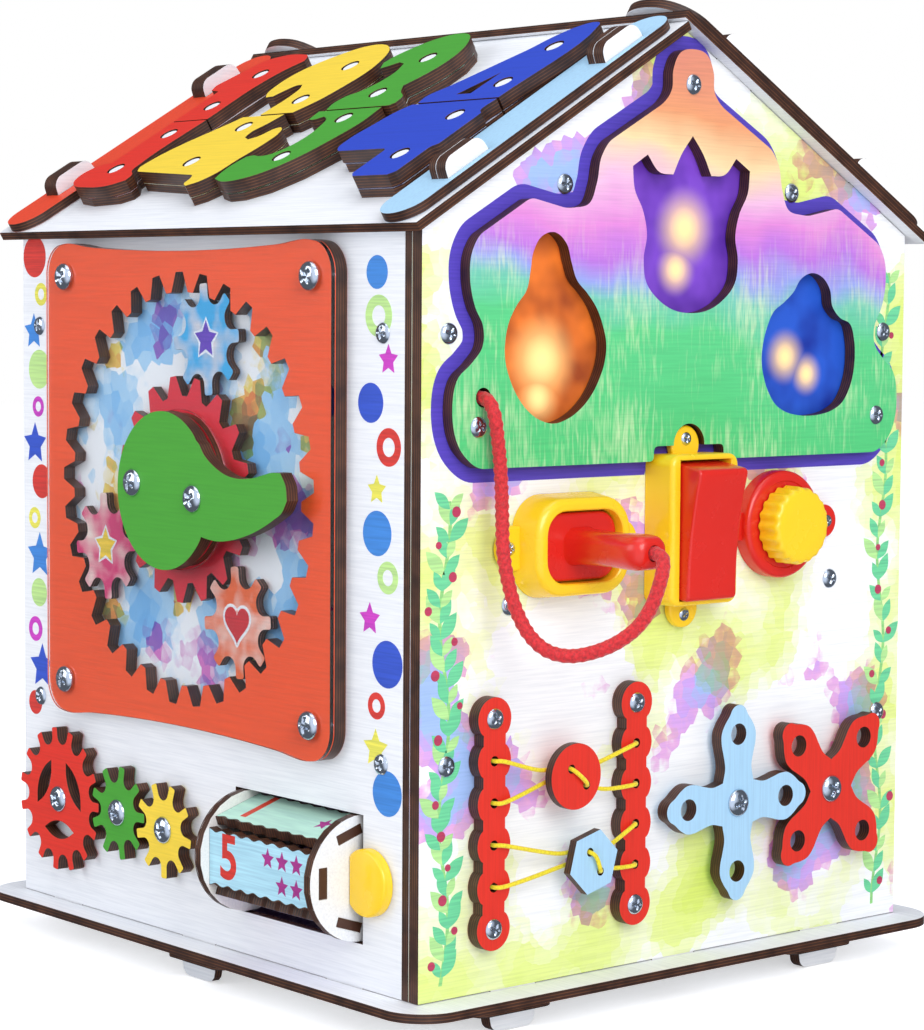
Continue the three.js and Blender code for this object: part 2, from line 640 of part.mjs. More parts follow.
// A square with rounded corners whose top and bottom curve in
function ringPlateOutline() {
  const half = ringSize / 2;
  const bend = 8;
  const edge = Array.from({ length: bend + 1 }, (_, i) => {
    const share = (2 * i) / bend - 1;
    const x = share * (half - ringCorner);
    return [x, -half + ringHollow * (1 - share * share)];
  });
  const corner = (x, y, from) =>
    [0.25, 0.5, 0.75].map((share) => {
      const angle = from + (share * Math.PI) / 2;
      return [x + ringCorner * Math.cos(angle), y + ringCorner * Math.sin(angle)];
    });
  const inner = half - ringCorner;
  const lowCorner = corner(inner, -inner, -Math.PI / 2);
  const right = [...lowCorner, [half, -inner], [half, inner], ...corner(inner, inner, 0)];
  return moved([...edge, ...right, ...turned([...edge, ...right], Math.PI)], ringX, ringY);
}

const ringOpening = moved(
  toothedWheel(ringTeeth, gameModule, ringFirstSpace, spaceShare, dedendumShare, addendumShare),
  ringX,
  ringY,
);
const ringFace = seam + thickPly;
const coverFace = ringFace + seam + coverThickness;
piece(gearSide, "ring_panel", sheet(ringPlateOutline(), seam, ringFace, [ringOpening]), orangePly);
piece(
  gearSide,
  "ring_cover",
  sheet(ringPlateOutline(), ringFace + seam, coverFace, [circle(ringX, ringY, coverHole, 24)]),
  clearPlastic,
);

// Teeth line up: a planet's tooth faces a ring space, and the sun's space faces a planet's tooth
const planetPhase = (angle) => angle + ((ringFirstSpace - angle) * ringTeeth) / planetTeeth;
const firstPlanet = planetSpots[0][1];
const sunPhase =
  firstPlanet -
  ((planetPhase(firstPlanet) - firstPlanet - Math.PI) * planetTeeth) / sunTeeth +
  Math.PI / sunTeeth;

function sunGear() {
  const wheel = sheet(gearOutline(sunTeeth, gameModule, sunPhase), wheelLow, wheelLow + sunThickness);
  const disc = sheet(circle(0, 0, hubRadius, 24), wheelLow + sunThickness - overrun, hubFace);
  const spacer = sheet(circle(0, 0, sunSpacer, 18), hubFace - overrun, handleFace - handleThickness - seam);
  const bore = sheet(circle(0, 0, axleBore, 16), wheelLow - overrun, hubFace - overrun);
  return placed(cut(join(wheel, disc, spacer), bore), ringX, ringY, 0);
}
piece(gearSide, "sun_gear", sunGear(), finish("#cf2030", 0.5));

const handleHub = 35;
const armShares = [
  [0.629, 0.729], [0.971, 0.443], [1.4, 0.257], [1.829, 0.243], [2.257, 0.329], [2.457, 0.357],
  [2.614, 0.1], [2.571, -0.071], [2.314, -0.243], [1.829, -0.443], [1.257, -0.557],
  [0.857, -0.529], [0, -0.3], [0, 0.3],
];
function knobHandle() {
  const low = handleFace - handleThickness;
  const hub = sheet(circle(0, 0, handleHub, 28), low, handleFace);
  const arm = sheet(smooth(scaled(armShares, handleHub), 36), low, handleFace);
  return placed(join(hub, arm), ringX, ringY, 0);
}
piece(gearSide, "knob_handle", knobHandle(), greenPly);

function sunAxle() {
  const back = -ply - seam;
  const tip = hubFace - overrun - seam;
  const tail = back - nutHeight;
  const head = [[0, tail], [axleHead, tail], [axleHead, back]];
  const shank = [[axleRadius, back], [axleRadius, tip], [0, tip]];
  return placed(turnedPiece([...head, ...shank], 16), ringX, ringY, 0);
}
piece(gearSide, "sun_axle", sunAxle(), steel);

// The planets run loose between ring and sun; a thin spider behind them keeps their spacing
function planetCarrier() {
  const hub = sheet(circle(0, 0, carrierHub, 16), seam, carrierFace);
  const arms = planetSpots.map(([, angle]) =>
    join(
      sheet(turned(rectangle(0, orbit, -carrierArm / 2, carrierArm / 2), angle), seam, carrierFace),
      sheet(
        circle(orbit * Math.cos(angle), orbit * Math.sin(angle), pinRadius, 10),
        seam,
        wheelHigh - planetSkin - seam,
      ),
    ),
  );
  const bore = sheet(circle(0, 0, axleBore, 16), 0, carrierFace + overrun);
  return placed(cut(join(hub, ...arms), bore), ringX, ringY, 0);
}
piece(gearSide, "planet_carrier", planetCarrier(), finish("#dfe6ea", 0.4));

planetSpots.forEach(([name, angle]) => {
  const wheel = sheet(gearOutline(planetTeeth, gameModule, planetPhase(angle)), wheelLow, wheelHigh);
  const bore = sheet(circle(0, 0, pinBore, 12), wheelLow - overrun, wheelHigh - planetSkin);
  const x = ringX + orbit * Math.cos(angle);
  const y = ringY + orbit * Math.sin(angle);
  piece(gearSide, `planet_gear_${name}`, placed(cut(wheel, bore), x, y, 0), planetMaterials[name]);
});

// Three meshed gears under the ring game
const smallModule = 4.15;
const redTeeth = 15;
const smallTeeth = 9;
const redInset = 40.3; // from the wall's end to the red gear's axis
const redX = redInset - halfLength;
const redY = 49.8;
const greenAngle = 0.01;
const yellowAngle = -0.0725;
const redToGreen = ((redTeeth + smallTeeth) * smallModule) / 2;
const greenToYellow = smallTeeth * smallModule;
const greenX = redX + redToGreen * Math.cos(greenAngle);
const greenY = redY + redToGreen * Math.sin(greenAngle);
const yellowX = greenX + greenToYellow * Math.cos(yellowAngle);
const yellowY = greenY + greenToYellow * Math.sin(yellowAngle);
const smallLow = 0.7;
const smallHigh = smallLow + thickPly;
const smallBore = boltShank + boreClearance;
const lensLength = 25;
const lensWidth = 8.5;
const lensReach = 14.5; // from the gear's axis to the middle of a lens-shaped hole

const lens = () => {
  const half = lensLength / 2;
  const steps = 4;
  const arc = Array.from({ length: steps }, (_, i) => {
    const share = i / steps;
    return [half * (2 * share - 1), 2 * lensWidth * share * (1 - share)];
  });
  return [...arc, ...turned(arc, Math.PI)];
};
const redLenses = [0, 1, 2].map((i) => turned(moved(lens(), 0, lensReach), (i / 3) * 2 * Math.PI));
// The red gear's tooth points at the green one's space, and the green one's at the yellow one's
const greenPhase = greenAngle + Math.PI + Math.PI / smallTeeth;
const yellowPhase = 2 * yellowAngle + Math.PI + Math.PI / smallTeeth - greenPhase;
const smallGears = [
  ["red", redX, redY, redTeeth, greenAngle, redLenses, redPly],
  ["green", greenX, greenY, smallTeeth, greenPhase, [], greenPly],
  ["yellow", yellowX, yellowY, smallTeeth, yellowPhase, [], yellowPly],
];
smallGears.forEach(([name, x, y, teeth, phase, holes, material]) => {
  const bore = circle(0, 0, smallBore, 10);
  const wheel = sheet(gearOutline(teeth, smallModule, phase), smallLow, smallHigh, [bore, ...holes]);
  piece(gearSide, `gear_${name}`, placed(wheel, x, y, 0), material);
  piece(gearSide, `gear_${name}_bolt`, placed(bolt(ply, smallHigh + seam), x, y, 0), steel);
});

// Number drum in a window of the gear wall
const drumInset = 25.6; // from the wall's end to the window
const drumShare = 0.3117; // of the wall's length, for the window
const drumWidth = drumShare * (halfLength + wallEnd);
const drumHigh = wallEnd - drumInset;
const drumLow = drumHigh - drumWidth;
const drumBottom = 18.5;
const drumTop = 73;
const drumAxisY = (drumBottom + drumTop) / 2;
const drumAxisZ = -ply / 2;
const discRadius = 26.8;
const discThickness = ply;
const discGap = 4.3; // from the window's sides to the discs' outer faces
const discLeft = drumLow + discGap;
const discRight = drumHigh - discGap;
const boardCount = 5;
const boardApothem = 20;
const boardWidth = 24.6;
const boardWave = 0.6; // height of the waves along a board's edges
const boardWaves = 8;
const boardTab = 13;
const drumAxle = 2; // radius
const capRadius = 14.4;
const capThickness = 4.5;
const capChord = 9.5; // from the cap's centre to its straight edge
const capClearance = 0.5; // from the cap's straight edge to the disc
const capRimShare = 0.95; // of the cap's outline, past its chamfered rim
const axleReach = 7; // into the wall beside the window

function waveBoard() {
  const left = discLeft + discThickness - overrun;
  const right = discRight - discThickness + overrun;
  const steps = 2 * boardWaves;
  const edge = Array.from({ length: steps + 1 }, (_, i) => [
    left + (i / steps) * (right - left),
    boardWidth / 2 + boardWave * Math.cos(i * Math.PI),
  ]);
  const outline = [...edge.map(([x, y]) => [x, -y]), ...edge.slice().reverse()];
  const plank = sheet(outline, boardApothem - ply / 2, boardApothem + ply / 2);
  const tabs = sheet(
    rectangle(discLeft - seam, discRight + seam, -boardTab / 2, boardTab / 2),
    boardApothem - ply / 2,
    boardApothem + ply / 2,
  );
  return join(plank, tabs);
}

function numberDrum() {
  const boards = Array.from({ length: boardCount }, (_, i) =>
    spun(waveBoard(), (i / boardCount) * 2 * Math.PI, 0, 0),
  );
  const bore = circle(0, 0, drumAxle + boreClearance, 10);
  const disc = spun(sheet(circle(0, 0, discRadius, 24), 0, discThickness, [bore]), 0, Math.PI / 2, 0);
  const discs = [discLeft, discRight - discThickness].map((x) => placed(disc, x, 0, 0));
  return placed(join(discs[0], discs[1], ...boards), 0, drumAxisY, drumAxisZ);
}
piece(gearSide, "number_drum", numberDrum(), rawPly);
const axleRod = sheet(circle(0, 0, drumAxle - seam / 2, 12), drumLow - axleReach, drumHigh + axleReach);
piece(gearSide, "drum_axle", placed(spun(axleRod, 0, Math.PI / 2, 0), 0, drumAxisY, drumAxisZ), rawPly);

function drumCap() {
  const chordAngle = Math.acos(capChord / capRadius);
  const steps = 20;
  const arc = Array.from({ length: steps + 1 }, (_, i) => {
    const angle = Math.PI - chordAngle - (i / steps) * 2 * (Math.PI - chordAngle);
    return [capRadius * Math.cos(angle), capRadius * Math.sin(angle)];
  }).reverse();
  const shrunk = scaled(arc, capRimShare);
  return loft([
    [arc, seam],
    [arc, seam + capThickness - overrun],
    [shrunk, seam + capThickness],
  ]);
}
const capReach = discGap - capClearance - capChord;
const rightCapX = drumHigh - capReach;
const leftCapX = drumLow + capReach;
const leftCap = spun(drumCap(), 0, 0, Math.PI);
piece(gearSide, "drum_cap_right", placed(drumCap(), rightCapX, drumAxisY, 0), yellowPlastic);
piece(gearSide, "drum_cap_left", placed(leftCap, leftCapX, drumAxisY, 0), yellowPlastic);

// Long walls
function wallOutline() {
  return rounded([
    [-halfLength, 0, 0],
    ...footCorners(wallTabs[0], wallTabWidth, tabReach, 0),
    ...footCorners(wallFootCentre, footWidth, footReach, footCorner),
    ...footCorners(wallTabs[1], wallTabWidth, tabReach, 0),
    [wallEnd, 0, 0],
    [wallEnd, eaveHeight - seam, 0],
    [-halfLength, eaveHeight - seam, 0],
  ]);
}
const axleSlot = drumAxle + boreClearance;
const drumWindow = [
  [drumLow, drumBottom], [drumHigh, drumBottom], [drumHigh, drumAxisY - axleSlot],
  [drumHigh + axleReach + seam, drumAxisY - axleSlot], [drumHigh + axleReach + seam, drumAxisY + axleSlot],
  [drumHigh, drumAxisY + axleSlot], [drumHigh, drumTop], [drumLow, drumTop], [drumLow, drumAxisY + axleSlot],
  [drumLow - axleReach - seam, drumAxisY + axleSlot], [drumLow - axleReach - seam, drumAxisY - axleSlot],
  [drumLow, drumAxisY - axleSlot],
];
const gearBores = smallGears.map(([, x, y]) => circle(x, y, smallBore, 10));
const sunBore = circle(ringX, ringY, axleBore, 16);
piece(gearSide, "wall_gear", sheet(wallOutline(), -ply, 0, [drumWindow, ...gearBores, sunBore]), whitePly);
piece(rearSide, "wall_far", sheet(mirrored(wallOutline()), -ply, 0), whitePly);

// Light panel, glow sheet and the lamp inside
const lugRadius = 8.5;
const housingWidth = 40.6;
const housingHeight = 65;
const housingDepth = 17;
const upperLugLift = 3.5; // from the housing's end to a lug's centre, as the next
const lowerLugLift = 2.5;
const notchGap = 0.8;
const lugHighY = switchY + housingHeight / 2 + upperLugLift;
const lugLowY = switchY - housingHeight / 2 - lowerLugLift;
const panelFaceOff = seam + thickPly;

function lightPanel() {
  const board = sheet(lampOutline, seam, panelFaceOff, [...lampWindows, ropeBore]);
  const notchHalf = housingWidth / 2 + notchGap;
  const notch = sheet(rectangle(-notchHalf, notchHalf, switchY, lugHighY), 0, panelFaceOff + overrun);
  const lugNotch = sheet(circle(0, lugHighY, lugRadius + notchGap, 20), 0, panelFaceOff + overrun);
  return cut(board, notch, lugNotch);
}
piece(switchSide, "light_panel", lightPanel(), lampPly);
const glowThickness = 3;
piece(switchSide, "light_sheet", sheet(glowOutline(seam), -seam - glowThickness, -seam), opalPlastic);

const boardWidthShare = 0.9; // of the light panel's half width, each way
const ledBoardHeight = 26;
const ledBoardLift = 58; // over the light panel's lower edge
const ledBoardY = lampBottom + ledBoardLift;
const ledBoardThickness = 1.6;
const ledReach = boardWidthShare * lampHalfWidth;
const ledRadius = 3;
const ledBoardEnd = 4; // past the outermost lamps' reach
const ledPlaceShares = [-0.75, -0.45, -0.15, 0.15, 0.45, 0.75];
function ledBoard() {
  const high = -gableThickness - seam;
  const low = high - ledBoardThickness;
  const board = sheet(centred(0, ledBoardY, 2 * (ledReach + ledBoardEnd), ledBoardHeight), low, high);
  const lamps = ledPlaceShares.map((share) =>
    sheet(circle(share * ledReach, ledBoardY, ledRadius, 8), high - overrun, high + ledRadius),
  );
  return join(board, ...lamps);
}
piece(switchSide, "led_board", ledBoard(), boardGreen);

const batteryX = -2;
const batteryWidth = 50;
const batteryHeight = 62;
const batteryDepth = 21;
const batteryDrop = 68; // under the light panel's lower edge
const batteryCorner = 5;
const batteryRim = 1.2; // chamfer round the back

function batteryBox() {
  const high = -gableThickness - seam;
  const low = high - batteryDepth;
  const outline = (trim) =>
    centred(0, 0, batteryWidth - 2 * trim, batteryHeight - 2 * trim, batteryCorner - trim, 2);
  const box = loft([
    [outline(batteryRim), low],
    [outline(0), low + batteryRim],
    [outline(0), high],
  ]);
  return placed(box, batteryX, lampBottom - batteryDrop, 0);
}
piece(switchSide, "battery_box", batteryBox(), greyPlastic);

// Socket for the plug
const socketWidth = 57.6;
const socketHeight = 43.5;
const socketFrontWidth = 52;
const socketFrontHeight = 40;
const socketDepth = 14.5;
const socketCorner = 15;
const socketRim = 1; // chamfer round the front
const recessWidth = 42;
const recessHeight = 30;
const recessCorner = 10;
const recessFloor = 6;
const earReach = 30;
const earRadius = 9.5;
const earThickness = 4;

function socketBody() {
  const front = (trim) =>
    centred(0, 0, socketFrontWidth - 2 * trim, socketFrontHeight - 2 * trim, socketCorner - trim, 5);
  const body = loft([
    [centred(0, 0, socketWidth, socketHeight, socketCorner, 5), seam],
    [front(0), socketDepth - socketRim],
    [front(socketRim), socketDepth],
  ]);
  const ears = [-earReach, earReach].map((x) =>
    sheet(circle(x, 0, earRadius, 18), seam, seam + earThickness),
  );
  const recess = sheet(
    centred(0, 0, recessWidth, recessHeight, recessCorner, 5),
    recessFloor,
    socketDepth + overrun,
  );
  return placed(cut(join(body, ...ears), recess), socketX, socketY, 0);
}
piece(switchSide, "socket", socketBody(), yellowPlastic);

const plugGap = 0.8; // between the plug's flange and the recess
const flangeThickness = 5;
const handleWide = 18;
const handleHigh = 14;
const plugTip = 55;
const plugBore = ropeRadius + boreClearance;
const plugBoreDepth = 9;

function plugBody() {
  const low = recessFloor + seam;
  const flange = sheet(
    centred(0, 0, recessWidth - 2 * plugGap, recessHeight - 2 * plugGap, recessCorner - plugGap, 5),
    low,
    low + flangeThickness,
  );
  const oval = (share) => scaled(circle(0, 0, share, 16), handleWide / 2, handleHigh / 2);
  const length = plugTip - low;
  // Shares of its length and of its width, from the flange to the tip
  const stations = [[0.1, 1], [0.4, 0.92], [0.75, 0.98], [0.9, 0.94], [0.97, 0.8], [1, 0.62]];
  const grip = loft(stations.map(([height, width]) => [oval(width), low + height * length]));
  const bore = sheet(circle(0, 0, plugBore, 10), plugTip - plugBoreDepth, plugTip + overrun);
  return placed(cut(join(flange, grip), bore), socketX, socketY, 0);
}
piece(switchSide, "plug", plugBody(), redPlastic);

// A tube along hand-chosen points [x, y, z] of the switch side
function tube(points, radius, sides, steps) {
  const curve = new THREE.CatmullRomCurve3(points.map(([x, y, z]) => along(x, y, z)), false, "centripetal");
  const shape = new THREE.Shape(vectors(circle(0, 0, radius, sides)));
  return solid(new THREE.ExtrudeGeometry(shape, { steps, extrudePath: curve, bevelEnabled: false }));
}

// The rope's way: down from the plug's tip, counted from there, and round and up to its hole in the
// light panel, counted from the hole in the facade's outer face
const ropeFromPlug = [
  [0, 0, -8], [0, 0, -3], [-0.2, -0.1, 2], [-1.4, -2, 6.4], [-3.5, -5.9, 8.6], [-6, -12.4, 9],
  [-8.8, -20.9, 7.4], [-12.8, -28.8, 3.8], [-18.5, -35.1, -1.8], [-25.6, -39.4, -9], [-31.9, -41, -16.5],
];
const ropeToHole = [
  [13, -101.7, 31.5], [9.2, -96, 25.5], [6.3, -86.4, 20.6], [4.5, -74, 17], [4.1, -61.7, 14.4],
  [5.1, -49.8, 12.6], [5.3, -37.7, 11.8], [4.1, -25.3, 12], [2.2, -14.5, 12.4], [0.7, -6.5, 12.2],
  [0.1, -1.6, 9.6], [0, -0.2, 5.6], [0, 0, 0], [0, 0, -7], [0, 0, -14],
];
const counted = (points, x, y, z) => points.map(([px, py, pz]) => [px + x, py + y, pz + z]);
const ropePoints = [
  ...counted(ropeFromPlug, socketX, socketY, plugTip),
  ...counted(ropeToHole, ropeHoleX, ropeHoleY, 0),
];
piece(switchSide, "rope", tube(ropePoints, ropeRadius, 8, 44), ropeFibre);

// Rocker switch
const rockerWidth = 29.2;
const rockerLength = 57.5;
const rockerGap = 0.5;
const rockerPivot = 9; // over the facade
const rockerTilt = THREE.MathUtils.degToRad(7);
const rockerEnd = 16.4; // a rocker end's height over its pivot
const rockerDip = 11.4; // the middle's height over its pivot
const rockerBelly = 2; // depth under its pivot
const rockerHollow = 0.5; // how far each half of its face curves in
const rockerSpread = 0.5; // how much longer each end is at the belly
const rockerSlot = 60.6;
const switchFloor = 2.4;
const housingCorner = 5;
const housingRim = 1; // chamfer round the front
const wellCorner = 1;

function switchHousing() {
  const outline = (trim) =>
    centred(0, 0, housingWidth - 2 * trim, housingHeight - 2 * trim, housingCorner - trim);
  const body = loft([
    [outline(0), seam],
    [outline(0), housingDepth - housingRim],
    [outline(housingRim), housingDepth],
  ]);
  const lugs = [lugHighY - switchY, lugLowY - switchY].map((y) =>
    sheet(circle(0, y, lugRadius, 18), seam, seam + earThickness),
  );
  const well = sheet(
    centred(0, 0, rockerWidth + 2 * rockerGap, rockerSlot, wellCorner, 2),
    switchFloor,
    housingDepth + overrun,
  );
  return placed(cut(join(body, ...lugs), well), 0, switchY, 0);
}
piece(switchSide, "switch_housing", switchHousing(), yellowPlastic);

function rockerButton() {
  const half = rockerLength / 2;
  const quarterHeight = (rockerEnd + rockerDip) / 2 - rockerHollow;
  const profile = [
    [-half, rockerEnd],
    [-half - rockerSpread, -rockerBelly],
    [half + rockerSpread, -rockerBelly],
    [half, rockerEnd],
    [half / 2, quarterHeight],
    [0, rockerDip],
    [-half / 2, quarterHeight],
  ];
  // The profile is drawn in (height along the wall, distance from it) and runs across the width
  const bar = sheet(profile, -rockerWidth / 2, rockerWidth / 2);
  const upright = bar.rotate([90, 0, 90]);
  return placed(spun(upright, rockerTilt, 0, 0), 0, switchY, rockerPivot);
}
piece(switchSide, "rocker", rockerButton(), redPlastic);

// Dial
const dialX = 59;
const dialDrop = 30.5; // under the light panel's lower edge
const dialY = lampBottom - dialDrop;
const dialBaseRadius = 24;
const dialBaseFace = 8;
const dialLugReach = 30;
const dialLugRadius = 7.5;
const dialKnobRadius = 17.5;
const dialKnobHeight = 11;
const dialRibs = 24;
const dialRibDepth = 0.8;
const dialStem = 4;
const dialStemDepth = 5;
const dialRim = 1; // chamfer steps round the base and the knob

function dialBase() {
  const profile = [
    [0, seam],
    [dialBaseRadius, seam],
    [dialBaseRadius - dialRim, dialBaseFace - dialRim],
    [dialBaseRadius - 2 * dialRim, dialBaseFace],
    [0, dialBaseFace],
  ];
  const body = turnedPiece(profile, 24);
  const lugs = [-dialLugReach, dialLugReach].map((x) =>
    sheet(circle(x, 0, dialLugRadius, 16), seam, seam + earThickness),
  );
  const necks = sheet(
    rectangle(-dialLugReach, dialLugReach, -dialLugRadius, dialLugRadius),
    seam,
    seam + earThickness,
  );
  const bore = sheet(
    circle(0, 0, dialStem + boreClearance, 12),
    dialBaseFace - dialStemDepth,
    dialBaseFace + overrun,
  );
  return placed(cut(join(body, necks, ...lugs), bore), dialX, dialY, 0);
}
piece(switchSide, "dial_base", dialBase(), redPlastic);

function dialKnob() {
  const low = dialBaseFace + seam;
  const high = low + dialKnobHeight;
  const ribbed = (radius) =>
    Array.from({ length: dialRibs * 2 }, (_, i) => {
      const angle = (i / dialRibs) * Math.PI;
      const reach = radius - (i % 2) * dialRibDepth;
      return [reach * Math.cos(angle), reach * Math.sin(angle)];
    });
  const body = loft([
    [ribbed(dialKnobRadius), low],
    [ribbed(dialKnobRadius - dialRim), high - dialRim],
    [ribbed(dialKnobRadius - 2 * dialRim), high],
  ]);
  const stem = sheet(circle(0, 0, dialStem, 12), low - dialStemDepth + 2 * seam, low + overrun);
  return placed(join(body, stem), dialX, dialY, 0);
}
piece(switchSide, "dial_knob", dialKnob(), yellowPlastic);

// Lacing strips and the buttons on their elastics
const laceLobe = 9;
const laceWaist = 6; // half a strip's width between its lobes

function laceStrip(x) {
  const lobes = laceLobes.map((y) => sheet(circle(x, y, laceLobe, 12), seam, panelFaceOff));
  const spine = sheet(
    rectangle(x - laceWaist, x + laceWaist, laceLobes[0], laceLobes[laceLobes.length - 1]),
    seam,
    panelFaceOff,
  );
  const holes = laced.map((y) => sheet(circle(x, y, laceHole, 6), 0, panelFaceOff + overrun));
  return cut(join(spine, ...lobes), ...holes);
}
piece(switchSide, "lacing_strip_left", laceStrip(laceLeft), redPly);
piece(switchSide, "lacing_strip_right", laceStrip(laceRight), redPly);

const elasticRadius = 1;
const buttonLow = 9;
const buttonHigh = buttonLow + ply;
const buttonHole = 1.9;
const roundX = -70.5;
const roundLift = 60.5; // over the lowest lobe
const roundY = laceLow + roundLift;
const roundRadius = 14;
const roundHoles = moved([[-2.7, 3.4], [5.9, -4.2]], roundX, roundY);
const hexX = -60;
const hexLift = 23.1; // over the lowest lobe
const hexY = laceLow + hexLift;
const hexRadius = 14;
const hexTurn = THREE.MathUtils.degToRad(15);
const hexHoles = moved([[-2.2, 4.4], [3.8, -4.4]], hexX, hexY);
const holesOf = (places) => places.map(([x, y]) => circle(x, y, buttonHole, 8));
const disc = circle(roundX, roundY, roundRadius, 28);
piece(switchSide, "button_round", sheet(disc, buttonLow, buttonHigh, holesOf(roundHoles)), redPly);
const hexagon = Array.from({ length: 6 }, (_, i) => {
  const angle = hexTurn + (i / 6) * 2 * Math.PI;
  return [hexX + hexRadius * Math.cos(angle), hexY + hexRadius * Math.sin(angle)];
});
piece(switchSide, "button_hexagon", sheet(hexagon, buttonLow, buttonHigh, holesOf(hexHoles)), skyPly);

// One elastic per button: out of the left strip, through the button's two holes, into the right strip,
// back out of its next hole and behind the button to the left strip again
const knotReach = 3; // behind the gable
const knotShift = 1.2; // between the two strands' ends at the back
const strandLean = 0.3; // towards the button, where a strand leaves a strip's hole
const strandOut = 2.5; // from a hole's axis to where the strand has turned
const strandRise = 1.7; // over the strip's face there
const strandSpan = 12; // from a hole to where its strand is straight
const strandFront = 1.6; // over a button's face
const strandBehind = 2.6; // under a button's back

function elastic(upperHole, lowerHole, [[firstX, firstY], [secondX, secondY]]) {
  const back = -gableThickness - knotReach;
  const rim = panelFaceOff + strandRise;
  const front = buttonHigh + strandFront;
  const behind = buttonLow - strandBehind;
  const leftStrip = (y) => [
    [laceLeft, y, 0],
    [laceLeft + strandLean, y, panelFaceOff],
    [laceLeft + strandOut, y, rim],
  ];
  const rightStrip = (y) => [
    [laceRight - strandOut, y, rim],
    [laceRight - strandLean, y, panelFaceOff],
    [laceRight, y, 0],
    [laceRight, y, strandOut - gableThickness],
  ];
  const points = [
    [laceLeft, upperHole, back],
    ...leftStrip(upperHole),
    [firstX - strandSpan, firstY, behind],
    [firstX - strandOut, firstY, behind],
    [firstX, firstY, buttonLow],
    [firstX, firstY, buttonHigh],
    [firstX + strandFront, firstY - strandFront, front],
    [secondX - strandFront, secondY + strandFront, front],
    [secondX, secondY, buttonHigh],
    [secondX, secondY, buttonLow],
    [secondX + strandOut, secondY, behind],
    [laceRight - strandSpan, lowerHole, behind + knotShift],
    ...rightStrip(lowerHole),
    [laceRight, lowerHole + knotShift, back],
    [laceRight, upperHole - knotShift, back],
    ...rightStrip(upperHole).reverse(),
    [(firstX + secondX) / 2, (firstY + secondY) / 2, behind - 2 * elasticRadius],
    ...leftStrip(lowerHole).reverse(),
    [laceLeft, lowerHole, back],
  ];
  return tube(points, elasticRadius, 4, 90);
}
piece(switchSide, "elastic_upper", elastic(laceLobes[4], laceLobes[3], roundHoles), elasticFibre);
piece(switchSide, "elastic_lower", elastic(laceLobes[2], laceLobes[1], hexHoles), elasticFibre);

// Two meshed four-armed spinners
const armTip = 43.4;
const spinnerLow = 4;
const spinnerHigh = spinnerLow + thickPly;
const fingerReach = 30.5;
const fingerHole = 4.75;
const armOutlineShares = [
  [0.22, 0.22], [0.37, 0.19], [0.5, 0.215], [0.62, 0.245], [0.72, 0.245], [0.82, 0.195], [0.9, 0.13],
  [0.97, 0.085], [1, 0.03],
];
function spinnerOutline(turn) {
  const upperEdge = scaled(armOutlineShares, armTip).reverse();
  const arm = [...upperEdge.map(([x, y]) => [x, -y]).reverse(), ...upperEdge];
  return [0, 1, 2, 3].flatMap((i) => turned(arm.slice(1), (i * Math.PI) / 2 + turn));
}
const spacerRadius = 2 * boltShank;
const spacerTop = spinnerLow - seam;
const spinnerSpacer = [
  [boltShank, seam],
  [spacerRadius, seam],
  [spacerRadius, spacerTop],
  [boltShank, spacerTop],
];
[
  ["blue", spinnerAxes[0], 0, skyPly],
  ["red", spinnerAxes[1], Math.PI / 4, redPly],
].forEach(([name, x, turn, material]) => {
  const fingers = [0, 1, 2, 3].map((i) => {
    const angle = (i * Math.PI) / 2 + turn;
    return circle(fingerReach * Math.cos(angle), fingerReach * Math.sin(angle), fingerHole, 10);
  });
  const holes = [circle(0, 0, smallBore, 10), ...fingers];
  const plate = sheet(spinnerOutline(turn), spinnerLow, spinnerHigh, holes);
  piece(switchSide, `spinner_${name}`, placed(plate, x, spinnerY, 0), material);
  const pivot = bolt(gableThickness, spinnerHigh + seam, spinnerSpacer);
  piece(switchSide, `spinner_${name}_bolt`, placed(pivot, x, spinnerY, 0), steel);
});

// The origin is the middle of the underside of the box round the house, without the rope and its plug
house.updateMatrixWorld(true);
const overall = new THREE.Box3();
house.traverse((object) => {
  if (object.isMesh && object.name !== "rope" && object.name !== "plug") {
    overall.expandByObject(object, true);
  }
});
const middle = overall.getCenter(new THREE.Vector3());
house.position.set(-middle.x, -middle.y, -overall.min.z);
house.name = "busy_house";

export default house;
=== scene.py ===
import json
import math

import bpy
from bpy.props import FloatProperty, FloatVectorProperty, IntProperty, PointerProperty
from mathutils import Matrix, Vector
from mathutils.geometry import tessellate_polygon

